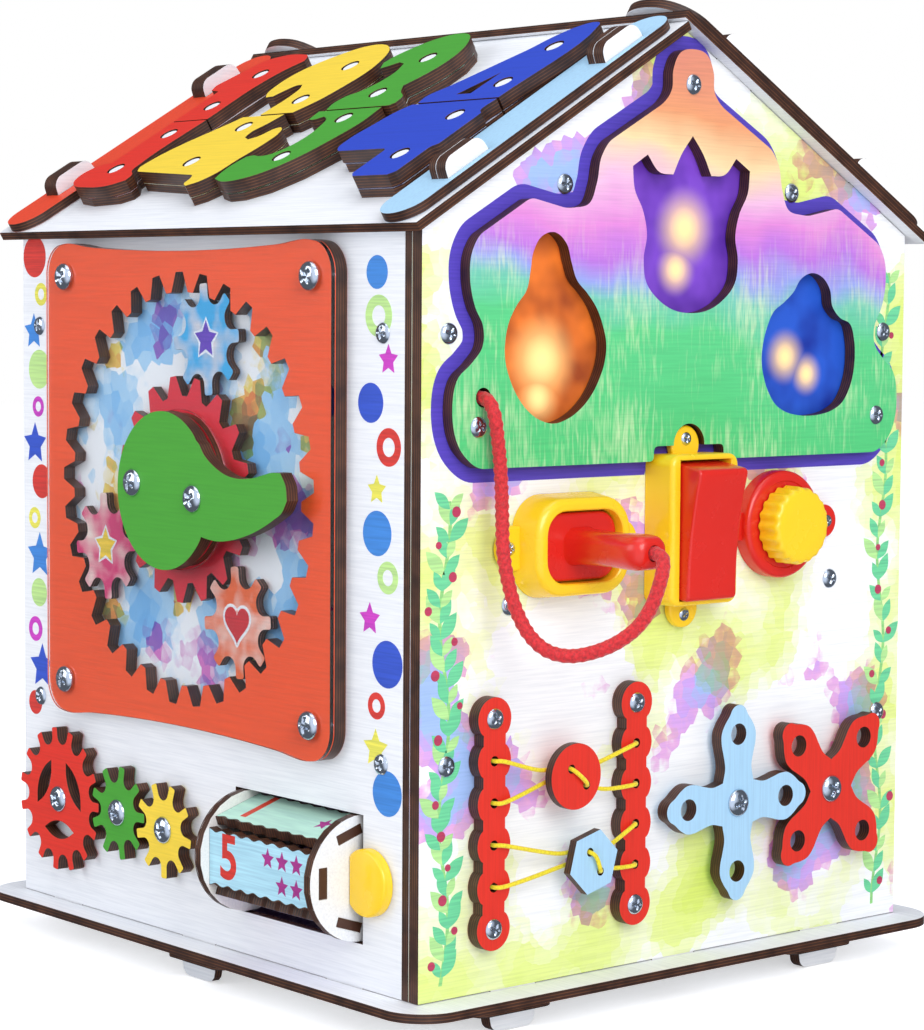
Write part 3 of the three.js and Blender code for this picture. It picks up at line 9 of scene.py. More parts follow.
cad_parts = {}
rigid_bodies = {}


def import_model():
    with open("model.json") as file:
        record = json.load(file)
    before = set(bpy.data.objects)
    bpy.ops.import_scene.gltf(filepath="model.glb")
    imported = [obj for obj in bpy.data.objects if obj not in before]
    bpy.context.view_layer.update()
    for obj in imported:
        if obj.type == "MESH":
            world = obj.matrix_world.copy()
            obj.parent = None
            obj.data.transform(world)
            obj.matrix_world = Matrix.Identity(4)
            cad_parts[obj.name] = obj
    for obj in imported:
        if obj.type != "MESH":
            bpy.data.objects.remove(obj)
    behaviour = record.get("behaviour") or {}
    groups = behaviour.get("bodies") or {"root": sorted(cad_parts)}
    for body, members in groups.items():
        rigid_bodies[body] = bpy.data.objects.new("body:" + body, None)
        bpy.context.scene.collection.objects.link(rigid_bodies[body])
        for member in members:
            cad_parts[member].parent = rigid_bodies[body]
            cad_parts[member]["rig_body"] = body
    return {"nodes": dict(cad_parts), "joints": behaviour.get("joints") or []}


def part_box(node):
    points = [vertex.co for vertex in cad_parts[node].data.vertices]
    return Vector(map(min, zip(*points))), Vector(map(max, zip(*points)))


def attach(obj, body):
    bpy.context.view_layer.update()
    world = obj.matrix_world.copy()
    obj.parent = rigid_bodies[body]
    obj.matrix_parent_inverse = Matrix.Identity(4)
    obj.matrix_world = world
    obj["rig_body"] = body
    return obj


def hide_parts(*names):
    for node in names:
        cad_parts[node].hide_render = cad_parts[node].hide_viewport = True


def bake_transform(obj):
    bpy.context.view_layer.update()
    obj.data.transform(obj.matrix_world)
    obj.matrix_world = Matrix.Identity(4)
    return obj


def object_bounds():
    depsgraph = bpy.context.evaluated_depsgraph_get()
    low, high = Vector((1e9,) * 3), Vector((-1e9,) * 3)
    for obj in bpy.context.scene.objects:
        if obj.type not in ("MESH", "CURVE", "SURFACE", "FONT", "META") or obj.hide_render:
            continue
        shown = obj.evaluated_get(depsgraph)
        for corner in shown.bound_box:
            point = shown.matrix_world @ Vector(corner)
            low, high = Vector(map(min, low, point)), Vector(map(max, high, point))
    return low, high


# The looks of a wooden busy house: painted and printed laser-cut plywood, moulded plastic switches,
# chromed fasteners, a braided rope and laced elastics.
bl_info = {
    "name": "Busy house",
    "version": (1, 0, 0),
    "blender": (4, 5, 0),
    "location": "3D View > Sidebar > Busy house",
    "description": "Dresses the plywood busy house in its paints, prints, plastics and cords",
    "category": "Object",
}

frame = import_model()
CAD_BOX = [list(corner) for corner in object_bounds()]

MM = 0.001
SEAM = 0.3  # gap between touching pieces
PRINT_LIFT = 0.06  # thickness of a printed motif over its board

# Levels of faces over their wall, which the edges' layers are counted from
SHEET_TOP = 6.3  # light panel, ring panel and lacing strips
COVER_TOP = 8.6  # clear cover over the ring panel
SMALL_GEAR_TOP = 6.7
PLANET_TOP = 5.4
SUN_TOP = 6.0
HANDLE_TOP = 18
BUTTON_TOP = 13
SPINNER_TOP = 10


# Places

class Wall:
    """A flat side of the house: x runs right, y up and off outwards from its face, in millimetres."""

    def __init__(self, origin, right, up):
        self.origin = Vector(origin)
        self.right = Vector(right).normalized()
        self.up = Vector(up).normalized()
        self.out = self.right.cross(self.up)

    def at(self, x, y, off=0.0):
        return self.origin + (self.right * x + self.up * y + self.out * off) * MM

    def flat(self, point):
        """A point of the frame as x, y and off on this side."""
        arm = (Vector(point) - self.origin) / MM
        return Vector((arm.dot(self.right), arm.dot(self.up), arm.dot(self.out)))

    def turned(self, x, y, off=0.0):
        """The same directions with the origin at a place on this side."""
        return Wall(self.at(x, y, off), self.right, self.up)

    def middle(self, node):
        """Where the middle of a node's box lies on this side."""
        low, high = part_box(node)
        spot = self.flat((low + high) / 2)
        return spot.x, spot.y

    def levels(self, node):
        """How far out from this side each corner of a node lies."""
        return [self.flat(vertex.co).z for vertex in frame["nodes"][node].data.vertices]

    def span(self, node):
        """The lowest and highest level of a node's box on this side."""
        return sorted(self.flat(corner).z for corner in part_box(node))


def joint_axis(name):
    return Vector(next(joint["axis"] for joint in frame["joints"] if joint["name"] == name))


base_low, base_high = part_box("base_plate")
HOUSE_X = (base_low.x + base_high.x) / 2
HOUSE_Y = (base_low.y + base_high.y) / 2
GROUND = base_high.z + SEAM * MM
GEAR_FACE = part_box("wall_gear")[0].y
REAR_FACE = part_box("wall_far")[1].y
SWITCH_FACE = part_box("gable_near_facade")[1].x
PLAIN_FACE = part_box("gable_far")[0].x
ROOF_OUT = joint_axis("digit_1_upper_lift")

GEAR_SIDE = Wall((HOUSE_X, GEAR_FACE, GROUND), (1, 0, 0), (0, 0, 1))
REAR_SIDE = Wall((HOUSE_X, REAR_FACE, GROUND), (-1, 0, 0), (0, 0, 1))
SWITCH_SIDE = Wall((SWITCH_FACE, HOUSE_Y, GROUND), (0, 1, 0), (0, 0, 1))
PLAIN_SIDE = Wall((PLAIN_FACE, HOUSE_Y, GROUND), (0, -1, 0), (0, 0, 1))
NEAR_ROOF = Wall((HOUSE_X, GEAR_FACE, GROUND), (1, 0, 0), (0, ROOF_OUT.z, -ROOF_OUT.y))
FAR_ROOF = Wall((HOUSE_X, REAR_FACE, GROUND), (-1, 0, 0), (0, -ROOF_OUT.z, -ROOF_OUT.y))
TOP = Wall((HOUSE_X, HOUSE_Y, GROUND), (1, 0, 0), (0, 1, 0))
UNDERSIDE = Wall((HOUSE_X, HOUSE_Y, GROUND), (-1, 0, 0), (0, 1, 0))


# Sizes and colours that a user would change

def colour(name, hex_value, text):
    return FloatVectorProperty(name=name, description=text, subtype="COLOR", size=4, min=0, max=1,
                               default=linear(hex_value))


def linear(hex_value):
    """An sRGB hex value as linear red, green, blue and alpha."""
    shares = [int(hex_value[i:i + 2], 16) / 255 for i in (1, 3, 5)]
    return [s / 12.92 if s <= 0.04045 else ((s + 0.055) / 1.055) ** 2.4 for s in shares] + [1.0]


def size(name, default, least, most, text):
    return FloatProperty(name=name, description=text, default=default, min=least, max=most)


class PaintColours(bpy.types.PropertyGroup):
    """Colours of the paints, prints and mouldings"""
    white: colour("White lacquer", "#F1F4F8", "Printed white of the walls and roof")
    red: colour("Red paint", "#E42812", "Strips, round button, red spinner and the digit 1")
    orange: colour("Orange-red paint", "#E8431C", "One batten")
    ring: colour("Ring paint", "#FF5A24", "Ring panel, brighter than the batten as it lies under its cover")
    sky: colour("Sky paint", "#A9D4F1", "Batten, hexagon button and blue spinner")
    green: colour("Green paint", "#46A62E", "Handle, small gear and the digit 3")
    yellow: colour("Yellow paint", "#FAD83A", "Small gear and the digit 2")
    blue: colour("Blue paint", "#1F45C8", "The digit 4")
    crimson: colour("Crimson paint", "#E62238", "Sun gear, behind the clear cover")
    plastic_yellow: colour("Yellow moulding", "#FFD21F", "Socket, switch housing, dial knob, drum caps")
    plastic_red: colour("Red moulding", "#DA2318", "Plug, rocker and dial base")
    rope: colour("Rope", "#D81E28", "Braided rope")
    elastic: colour("Elastic", "#F4E11A", "Elastic cords")
    violet: colour("Violet band", "#5A45C4", "Band printed round the light panel")


class HouseSizes(bpy.types.PropertyGroup):
    """Sizes of the parts that only the looks have, in millimetres"""
    ply_layer: size("Ply layer", 1.33, 0.5, 3, "Thickness of one layer of the plywood")
    edge_round: size("Edge rounding", 0.18, 0, 1, "Softening of sheet edges")
    bolt_radius: size("Bolt head radius", 6.25, 2, 12, "Domed bolt heads")
    bolt_dome: size("Bolt dome", 2.6, 1, 6, "Height of a domed bolt head")
    screw_radius: size("Screw head radius", 4.4, 1, 10, "Wood screws")
    screw_dome: size("Screw dome", 1.5, 0.5, 5, "Height of a wood screw's head")
    rope_radius: size("Rope radius", 3.0, 1, 6, "Braided rope")
    elastic_radius: size("Elastic radius", 1.0, 0.4, 3, "Elastic cord")
    band_width: size("Band width", 6, 1, 15, "Violet band round the light panel")
    braid_strands: IntProperty(name="Braid strands", description="Strands each way round the rope",
                               default=8, min=4, max=16)


def sizes():
    return bpy.context.scene.busy_sizes


def paint_of(name):
    """A paint of the panel, as a list for a node's socket."""
    return list(getattr(bpy.context.scene.busy_paints, name))


# Outlines in millimetres

def circle(x, y, radius, count=48):
    return [(x + radius * math.cos(2 * math.pi * i / count), y + radius * math.sin(2 * math.pi * i / count))
            for i in range(count)]


def rounded_box(width, height, corner, steps=8):
    """A rectangle round the origin with rounded corners, counterclockwise."""
    points = []
    for quarter, (sx, sy) in enumerate([(1, 1), (-1, 1), (-1, -1), (1, -1)]):
        cx, cy = sx * (width / 2 - corner), sy * (height / 2 - corner)
        for step in range(steps + 1):
            angle = (quarter + step / steps) * math.pi / 2
            points.append((cx + corner * math.cos(angle), cy + corner * math.sin(angle)))
    return points


def moved(points, x, y):
    return [(px + x, py + y) for px, py in points]


def turned(points, angle):
    c, s = math.cos(angle), math.sin(angle)
    return [(x * c - y * s, x * s + y * c) for x, y in points]


def grown(loop, by):
    """The outline moved outwards by a distance, for gentle outlines."""
    result = []
    count = len(loop)
    for i, (x, y) in enumerate(loop):
        px, py = loop[i - 1]
        nx, ny = loop[(i + 1) % count]
        edge = Vector((nx - px, ny - py)).normalized()
        result.append((x + edge.y * by, y - edge.x * by))
    return result


def cap_loops(node, wall, level=None):
    """Outlines of a node's flat face at a level of the wall, the longest first."""
    mesh = frame["nodes"][node].data
    flat = [wall.flat(vertex.co) for vertex in mesh.vertices]
    if level is None:
        level = max(point.z for point in flat)
    keys = [tuple(round(c * 100) for c in point) for point in flat]
    spots = {key: (point.x, point.y) for key, point in zip(keys, flat)}
    open_edges = set()
    for polygon in mesh.polygons:
        height = sum(flat[i].z for i in polygon.vertices) / len(polygon.vertices)
        if polygon.normal.dot(wall.out) < 0.99 or abs(height - level) > 0.05:
            continue
        ids = [keys[i] for i in polygon.vertices]
        for a, b in zip(ids, ids[1:] + ids[:1]):
            if (b, a) in open_edges:
                open_edges.remove((b, a))
            elif a != b:
                open_edges.add((a, b))
    after = {}
    for a, b in sorted(open_edges):
        after.setdefault(a, []).append(b)
    loops = []
    while after:
        start = next(iter(after))
        here, loop = start, []
        while here in after:
            loop.append(spots[here])
            following = after[here].pop()
            if not after[here]:
                del after[here]
            here = following
        loops.append(loop)
    return sorted(loops, key=lambda loop: -sum(math.dist(a, b) for a, b in zip(loop, loop[1:] + loop[:1])))


def refined(loop, sharp=38.0, step=1.0):
    """A faceted outline with its round stretches made smooth; corners over sharp degrees stay."""
    points = [Vector(p) for p in loop]
    count = len(points)
    edges = [points[(i + 1) % count] - points[i] for i in range(count)]
    lengths = [edge.length for edge in edges]
    straight = [lengths[i] > 1.8 * max(lengths[i - 1], lengths[(i + 1) % count]) for i in range(count)]
    turn = [math.degrees(abs(edges[i - 1].angle_signed(edges[i], 0))) for i in range(count)]

    def tangent(i, edge):
        """Direction at point i, for the edge that starts or ends there."""
        before, after = edges[i - 1].normalized(), edges[i].normalized()
        if turn[i] > sharp:
            return edges[edge].normalized()
        if straight[i - 1] and not straight[i]:
            return before
        if straight[i] and not straight[i - 1]:
            return after
        weight = lengths[i] / (lengths[i - 1] + lengths[i])
        return (before * weight + after * (1 - weight)).normalized()

    result = []
    for i in range(count):
        a, b, reach = points[i], points[(i + 1) % count], lengths[i]
        result.append((a.x, a.y))
        end = (i + 1) % count
        if straight[i] or (turn[i] > sharp and turn[end] > sharp) or max(turn[i], turn[end]) < 1:
            continue
        ta, tb = tangent(i, i) * reach, tangent(end, i) * reach
        pieces = max(2, min(8, math.ceil(reach / step)))
        for k in range(1, pieces):
            t = k / pieces
            spot = (a * (2 * t ** 3 - 3 * t ** 2 + 1) + ta * (t ** 3 - 2 * t ** 2 + t)
                    + b * (3 * t ** 2 - 2 * t ** 3) + tb * (t ** 3 - t ** 2))
            result.append((spot.x, spot.y))
    return result


def eased(loop, radius):
    """The outline with its sharp corners rounded where both neighbouring edges are long enough."""
    result = []
    for i, corner in enumerate(loop):
        here, before, after = (Vector(p) for p in (corner, loop[i - 1], loop[(i + 1) % len(loop)]))
        back, ahead = before - here, after - here
        turn = math.pi - back.angle(ahead)
        if turn < math.radians(60) or min(back.length, ahead.length) < 2 * radius:
            result.append(corner)
            continue
        start, end = here + back.normalized() * radius, here + ahead.normalized() * radius
        for step in range(5):
            t = step / 4
            spot = start * (1 - t) ** 2 + here * 2 * t * (1 - t) + end * t ** 2
            result.append((spot.x, spot.y))
    return result


def cog(teeth, phase, tip, root, half, corner=0.9):
    """A gear's outline: parallel-sided teeth with rounded tips, and round gaps between them."""
    turn = math.pi / teeth
    bite = (root * math.sin(turn) - half) / (1 - math.sin(turn))
    crown = math.sqrt(tip ** 2 - half ** 2)
    points = []
    for tooth in range(teeth):
        axis = phase + 2 * turn * tooth
        arc = [(crown - corner + corner * math.sin(a), half - corner + corner * math.cos(a))
               for a in (math.pi / 8 * step for step in range(5))]
        tooth_top = [(x, -y) for x, y in arc] + arc[::-1]
        points += turned(tooth_top, axis)
        cx, cy = (root + bite) * math.cos(axis + turn), (root + bite) * math.sin(axis + turn)
        for step in range(11):
            angle = axis - math.pi / 2 - (math.pi - 2 * turn) * step / 10
            points.append((cx + bite * math.cos(angle), cy + bite * math.sin(angle)))
    return points


def tooth_phase(node, wall, teeth):
    """Angle of one of a gear's teeth, from its tips."""
    x, y = wall.middle(node)
    arms = [(px - x, py - y) for px, py in cap_loops(node, wall)[0]]
    reach = max(math.hypot(*arm) for arm in arms)
    tips = [math.atan2(ay, ax) * teeth for ax, ay in arms if math.hypot(ax, ay) > reach - 0.5]
    return math.atan2(sum(map(math.sin, tips)), sum(map(math.cos, tips))) / teeth


# Meshes

def mesh_piece(name, vertices, faces, material, body, slot=None, replaces=(), sharp=35):
    mesh = bpy.data.meshes.new(name)
    mesh.from_pydata(vertices, [], faces)
    mesh.shade_smooth()
    mesh.set_sharp_from_angle(angle=math.radians(sharp))
    mesh.materials.append(material)
    piece = bpy.data.objects.new(name, mesh)
    bpy.context.scene.collection.objects.link(piece)
    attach(piece, body)
    if replaces:
        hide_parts(*replaces)
    return piece


def freed(piece):
    """Takes a piece off its body, where it is."""
    world = piece.matrix_world.copy()
    piece.parent = None
    piece.matrix_world = world


FLAT_ANGLE = 0.3  # degrees


def soften(piece, width=None, segments=2, angle=40):
    """Rounds a piece's edges, as sanding or a mould does; flat faces are joined up first, because a
    bevel creases narrow triangles."""
    joined = piece.modifiers.new("joined faces", "DECIMATE")
    joined.decimate_type = "DISSOLVE"
    joined.angle_limit = math.radians(FLAT_ANGLE)
    bevel = piece.modifiers.new("soft edges", "BEVEL")
    bevel.width = (sizes().edge_round if width is None else width) * MM
    bevel.segments = segments
    bevel.limit_method = "ANGLE"
    bevel.angle_limit = math.radians(angle)
    bevel.harden_normals = True
    return piece


SCATTER = 0.004  # far under what shows


def scattered(loop, turn):
    """The outline with its points off by a hair, so that no three of a sheet's corners lie in line
    and leave a slit in its face."""
    return [(x + SCATTER * math.sin(2.3 * k + turn), y + SCATTER * math.cos(3.1 * k + turn))
            for k, (x, y) in enumerate(loop)]


def sheet_mesh(wall, loops, low, high, start=0):
    """Vertices and faces of a sheet with its outer outline first and its holes after it."""
    vertices, faces = [], []
    loops = [scattered(loop, turn) for turn, loop in enumerate(loops)]
    flat = [[Vector((x, y, 0)) for x, y in loop] for loop in loops]
    total = sum(len(loop) for loop in loops)
    for off in (low, high):
        vertices += [wall.at(x, y, off) for loop in loops for x, y in loop]
    points = [p for loop in flat for p in loop]
    for a, b, c in tessellate_polygon(flat):
        area = (points[b] - points[a]).cross(points[c] - points[a]).z
        if area < 0:
            b, c = c, b
        if abs(area) > 0:
            faces.append((start + a + total, start + b + total, start + c + total))
            faces.append((start + a, start + c, start + b))
    offset = 0
    for loop in loops:
        count = len(loop)
        for i in range(count):
            here, following = start + offset + i, start + offset + (i + 1) % count
            faces.append((here, following, following + total, here + total))
        offset += count
    return vertices, faces


def sheets_piece(name, wall, parts, material, body, **options):
    """One piece of several sheets, each given as (loops, low, high)."""
    vertices, faces = [], []
    for loops, low, high in parts:
        more_vertices, more_faces = sheet_mesh(wall, loops, low, high, len(vertices))
        vertices += more_vertices
        faces += more_faces
    return mesh_piece(name, vertices, faces, material, body, **options)


def recut(node, wall, material, body, slot, sharp=38.0, name=None, corner=0.0):
    """A sheet node cut again with smooth outlines, at the node's own place."""
    levels = wall.levels(node)
    loops = [refined(loop, sharp) for loop in cap_loops(node, wall)]
    if corner:
        loops[0] = eased(loops[0], corner)
    piece = sheets_piece(name or node + "_cut", wall, [(loops, min(levels), max(levels))], material, body,
                         slot=slot, replaces=[node])
    return soften(piece)


def ring_faces(count, rings, start=0, closed_low=True, closed_high=True):
    faces = []
    for ring in range(rings - 1):
        for i in range(count):
            a = start + ring * count + i
            b = start + ring * count + (i + 1) % count
            faces.append((a, b, b + count, a + count))
    if closed_low:
        faces.append(tuple(start + i for i in reversed(range(count))))
    if closed_high:
        faces.append(tuple(start + (rings - 1) * count + i for i in range(count)))
    return faces


def loft_piece(name, wall, sections, material, body, **options):
    """A skin over sections, each an outline at a height, with its ends closed."""
    vertices = [wall.at(x, y, off) for outline, off in sections for x, y in outline]
    faces = ring_faces(len(sections[0][0]), len(sections))
    return mesh_piece(name, vertices, faces, material, body, **options)


def turned_piece(name, wall, profile, material, body, count=64, **options):
    """A profile of (radius, height) turned round the wall's origin; it starts and ends near the axis."""
    sections = [(circle(0, 0, max(radius, 0.02), count), height) for radius, height in profile]
    return loft_piece(name, wall, sections, material, body, **options)


def filleted(low, high, fillet, steps=5):
    """Pairs of (inset, height) up a wall and round its top edge."""
    pairs = [(0.0, low)]
    for step in range(steps + 1):
        angle = step / steps * math.pi / 2
        pairs.append((fillet * (1 - math.cos(angle)), high - fillet + fillet * math.sin(angle)))
    return pairs


def smooth_path(points, per_span=8):
    """A centripetal curve through the points, as the rope and elastics hang."""
    points = [Vector(p) for p in points]
    ends = [points[0] * 2 - points[1], *points, points[-1] * 2 - points[-2]]
    path = []
    for i in range(1, len(ends) - 2):
        p0, p1, p2, p3 = ends[i - 1:i + 3]
        d1, d2, d3 = (max((b - a).length ** 0.5, 1e-6) for a, b in ((p0, p1), (p1, p2), (p2, p3)))
        m1 = (p1 - p0) / d1 - (p2 - p0) / (d1 + d2) + (p2 - p1) / d2
        m2 = (p2 - p1) / d2 - (p3 - p1) / (d2 + d3) + (p3 - p2) / d3
        m1, m2 = m1 * d2, m2 * d2
        for k in range(per_span):
            t = k / per_span
            path.append(p1 * (2 * t ** 3 - 3 * t ** 2 + 1) + m1 * (t ** 3 - 2 * t ** 2 + t)
                        + p2 * (3 * t ** 2 - 2 * t ** 3) + m2 * (t ** 3 - t ** 2))
    path.append(points[-1])
    return path


def even_path(path, spacing):
    """The path again in equal steps of about spacing."""
    lengths = [0.0]
    for a, b in zip(path, path[1:]):
        lengths.append(lengths[-1] + (b - a).length)
    count = max(2, round(lengths[-1] / spacing))
    result, at = [], 0
    for k in range(count + 1):
        goal = lengths[-1] * k / count
        while at < len(path) - 2 and lengths[at + 1] < goal:
            at += 1
        span = max(lengths[at + 1] - lengths[at], 1e-9)
        result.append(path[at].lerp(path[at + 1], min(1.0, (goal - lengths[at]) / span)))
    return result, lengths[-1]


def tube_mesh(path, radius_at, sides):
    """Vertices and faces of a tube whose radius follows the way along it and round it."""
    vertices = []
    direction = (path[1] - path[0]).normalized()
    across = direction.orthogonal().normalized()
    run = 0.0
    for i, spot in enumerate(path):
        ahead = (path[min(i + 1, len(path) - 1)] - path[max(i - 1, 0)]).normalized()
        across = (direction.rotation_difference(ahead) @ across)
        across = (across - ahead * across.dot(ahead)).normalized()
        direction = ahead
        beside = ahead.cross(across)
        if i:
            run += (spot - path[i - 1]).length
        for side in range(sides):
            angle = 2 * math.pi * side / sides
            reach = radius_at(run, angle)
            vertices.append(spot + (across * math.cos(angle) + beside * math.sin(angle)) * reach)
    return vertices, ring_faces(sides, len(path))


# Materials

def add(tree, kind, links=None, stops=None, **settings):
    """Adds a node with its settings; links gives its inputs values or other nodes' outputs."""
    node = tree.nodes.new("ShaderNode" + kind)
    for name, value in settings.items():
        setattr(node, name, value)
    if stops:
        elements = node.color_ramp.elements
        while len(elements) < len(stops):
            elements.new(1.0)
        for element, (place, value) in zip(elements, stops):
            element.position = place
            element.color = linear(value) if isinstance(value, str) else value
    for name, value in (links or {}).items():
        socket = node.inputs[name]
        if isinstance(value, bpy.types.NodeSocket):
            tree.links.new(value, socket)
        else:
            socket.default_value = value
    return node


def object_place(tree):
    return add(tree, "TexCoord").outputs["Object"]


def maths(tree, operation, *values):
    """The result of a sum on numbers."""
    return add(tree, "Math", dict(enumerate(values)), operation=operation).outputs[0]


def vectors(tree, operation, first, second):
    """The result of a sum on two vectors; a dot product or a distance is one number."""
    node = add(tree, "VectorMath", {0: first, 1: second}, operation=operation)
    return node.outputs["Value" if operation in ("DOT_PRODUCT", "DISTANCE") else "Vector"]


def mix(tree, share, first, second, blend="MIX"):
    """Two colours mixed, or one multiplied by the other."""
    return add(tree, "Mix", {0: share, 6: first, 7: second}, data_type="RGBA", blend_type=blend).outputs[2]


def noise(tree, vector, scale, detail, **values):
    links = {"Vector": vector, "Scale": scale, "Detail": detail, **values}
    return add(tree, "TexNoise", links).outputs["Fac"]


def ramp(tree, value, *stops):
    """The colour of a value, between stops of (place, hex)."""
    return add(tree, "ValToRGB", {"Fac": value}, stops=stops).outputs[0]


def ranged(tree, value, low, high, to_low=0.0, to_high=1.0, **settings):
    """A value carried from one range to another."""
    limits = {"Value": value, 1: low, 2: high, 3: to_low, 4: to_high}
    return add(tree, "MapRange", limits, **settings).outputs[0]


def new_material(name, roughness, **values):
    """A material with one Principled shader; values are its constant sockets."""
    material = bpy.data.materials.new(name)
    material.use_nodes = True
    tree = material.node_tree
    tree.nodes.clear()
    shader = add(tree, "BsdfPrincipled", {"Roughness": roughness})
    for socket, value in values.items():
        shader.inputs[socket.replace("_", " ").title().replace("Ior", "IOR")].default_value = value
    add(tree, "OutputMaterial", {"Surface": shader.outputs[0]})
    return material, tree, shader


def resurface(tree, share, first, second):
    """Puts a mix of two shaders on the material's surface in place of its first one."""
    output = next(node for node in tree.nodes if node.type == "OUTPUT_MATERIAL")
    both = add(tree, "MixShader", {0: share, 1: first.outputs[0], 2: second.outputs[0]})
    tree.links.new(both.outputs[0], output.inputs["Surface"])


def bump_of(tree, shader, height, strength, distance):
    """Puts a height into the shader's normal; distance is in millimetres."""
    bump = add(tree, "Bump", {"Strength": strength, "Distance": distance * MM, "Height": height})
    tree.links.new(bump.outputs[0], shader.inputs["Normal"])


# How often the wood's fibres repeat along and across the grain, per metre
FIBRE_LONG = 1000 / 30
FIBRE_WIDE = 1000 / 0.9  # real fibres are finer; drawn as coarse as it takes to show
CHAR_LENGTH = 1000 / 9
FACING = 0.8  # share of a surface's direction along its board's, over which it is the board's face


def grain_vector(grain):
    return [FIBRE_LONG if axis == grain else FIBRE_WIDE for axis in "xyz"]


def laser_birch(name, wall, top, paint, grain="x", roughness=0.5, face=None):
    """Birch plywood cut by a laser: a thin lacquered print or paint over fine straight fibres, and
    edges that the beam has burnt brown, where the glue lines between the layers stay lighter."""
    material, tree, shader = new_material(name, roughness, ior=1.5)
    coordinates = add(tree, "TexCoord")
    place = coordinates.outputs["Object"]
    fibre = noise(tree, vectors(tree, "MULTIPLY", place, grain_vector(grain)), 1.0, 3.0, Roughness=0.6)
    shade = ramp(tree, fibre, (0.3, "#F1F2F4"), (0.62, "#FFFFFF"))
    painted = mix(tree, 1.0, face(tree, place) if face else paint, shade, "MULTIPLY")
    # Depth below the face, counted in layers
    depth = vectors(tree, "DOT_PRODUCT", place, wall.out)
    below = maths(tree, "SUBTRACT", wall.origin.dot(wall.out) + top * MM, depth)
    layer = maths(tree, "FRACT", maths(tree, "DIVIDE", below, sizes().ply_layer * MM))
    plies = ramp(tree, layer, (0.0, "#8A5630"), (0.12, "#4A2A1C"), (0.5, "#371E16"), (0.86, "#4E2C1D"),
                 (1.0, "#8A5630"))
    sooty = ramp(tree, noise(tree, place, CHAR_LENGTH, 4.0), (0.3, "#A8A09C"), (0.65, "#FFFFFF"))
    burnt = mix(tree, 1.0, plies, sooty, "MULTIPLY")
    facing = vectors(tree, "DOT_PRODUCT", coordinates.outputs["Normal"], wall.out)
    on_face = maths(tree, "GREATER_THAN", maths(tree, "ABSOLUTE", facing), FACING)
    tree.links.new(mix(tree, on_face, burnt, painted), shader.inputs["Base Color"])
    bump_of(tree, shader, fibre, 0.12, 0.08)
    return material


def moulded_abs(name, paint):
    """ABS from a polished mould: an even gloss with a faint orange-peel that softens reflections."""
    material, tree, shader = new_material(name, 0.24, ior=1.53, base_color=paint, coat_weight=0.15,
                                          coat_roughness=0.12)
    place = object_place(tree)
    bump_of(tree, shader, noise(tree, place, 1000 / 2.5, 2.0), 0.06, 0.05)
    scuffs = noise(tree, place, 1000 / 14, 5.0)
    tree.links.new(ranged(tree, scuffs, 0.0, 1.0, 0.2, 0.32), shader.inputs["Roughness"])
    return material


def chromed_steel():
    """Bright zinc and chrome plating on steel: a mirror with faint turning marks."""
    material, tree, shader = new_material("chromed steel", 0.16, metallic=1.0, base_color=linear("#CBD6E4"))
    marks = noise(tree, object_place(tree), 1000 / 1.2, 3.0)
    tree.links.new(ranged(tree, marks, 0.0, 1.0, 0.12, 0.17), shader.inputs["Roughness"])
    return material


def printed_ink(name, paint):
    """Ink printed on the white board: matt, with the board's fibres showing as faint streaks."""
    material, tree, shader = new_material(name, 0.55, ior=1.5)
    wide = vectors(tree, "MULTIPLY", object_place(tree), (FIBRE_LONG, FIBRE_LONG, FIBRE_WIDE))
    shade = ramp(tree, noise(tree, wide, 1.0, 3.0), (0.3, "#DCE2E8"), (0.65, "#FFFFFF"))
    tree.links.new(mix(tree, 1.0, paint, shade, "MULTIPLY"), shader.inputs["Base Color"])
    return material


def clear_acrylic():
    """Clear acrylic sheet: a colourless gloss with a faint blue where the light runs along its cut edge."""
    tint = linear("#FAFCFE")
    material, tree, shader = new_material("clear acrylic", 0.03, ior=1.49, transmission_weight=1.0,
                                          base_color=tint)
    # Lamps reach what is behind the sheet
    path = add(tree, "LightPath")
    open_way = add(tree, "BsdfTransparent", {"Color": tint})
    resurface(tree, path.outputs["Is Shadow Ray"], shader, open_way)
    return material


def dipped_cord(name, paint, shade, pitch):
    """Polyester or rubber cord: dull, with painted shade darkening the grooves between its strands."""
    material, tree, shader = new_material(name, 0.62, ior=1.49, sheen_weight=0.25)
    strand_relief = noise(tree, object_place(tree), 1000 / pitch, 3.0)
    # The cord is painted darker where this noise is low: painted shade in the grooves that its bump dents
    tree.links.new(ramp(tree, strand_relief, (0.3, shade), (0.6, paint)), shader.inputs["Base Color"])
    bump_of(tree, shader, strand_relief, 0.3, 0.2)
    return material


# Printed faces

MOSAIC_TILE = 1000 / 5.2  # tiles of the printed background, per metre
PATCH_SIZE = 1000 / 62


def mosaic(tree, place, *stops, tile=MOSAIC_TILE, patch=PATCH_SIZE, offset=(0, 0, 0)):
    """A watercolour wash laid in small irregular tiles: each tile takes one shade of a slow noise."""
    at = vectors(tree, "ADD", place, offset)
    tiles = add(tree, "TexVoronoi", {"Vector": at, "Scale": tile})
    wash = noise(tree, tiles.outputs["Position"], patch, 1.5)
    soft = noise(tree, at, patch * 6, 3.0)
    both = add(tree, "Mix", {0: 0.06, 2: wash, 3: soft})
    return ramp(tree, both.outputs[0], *stops)


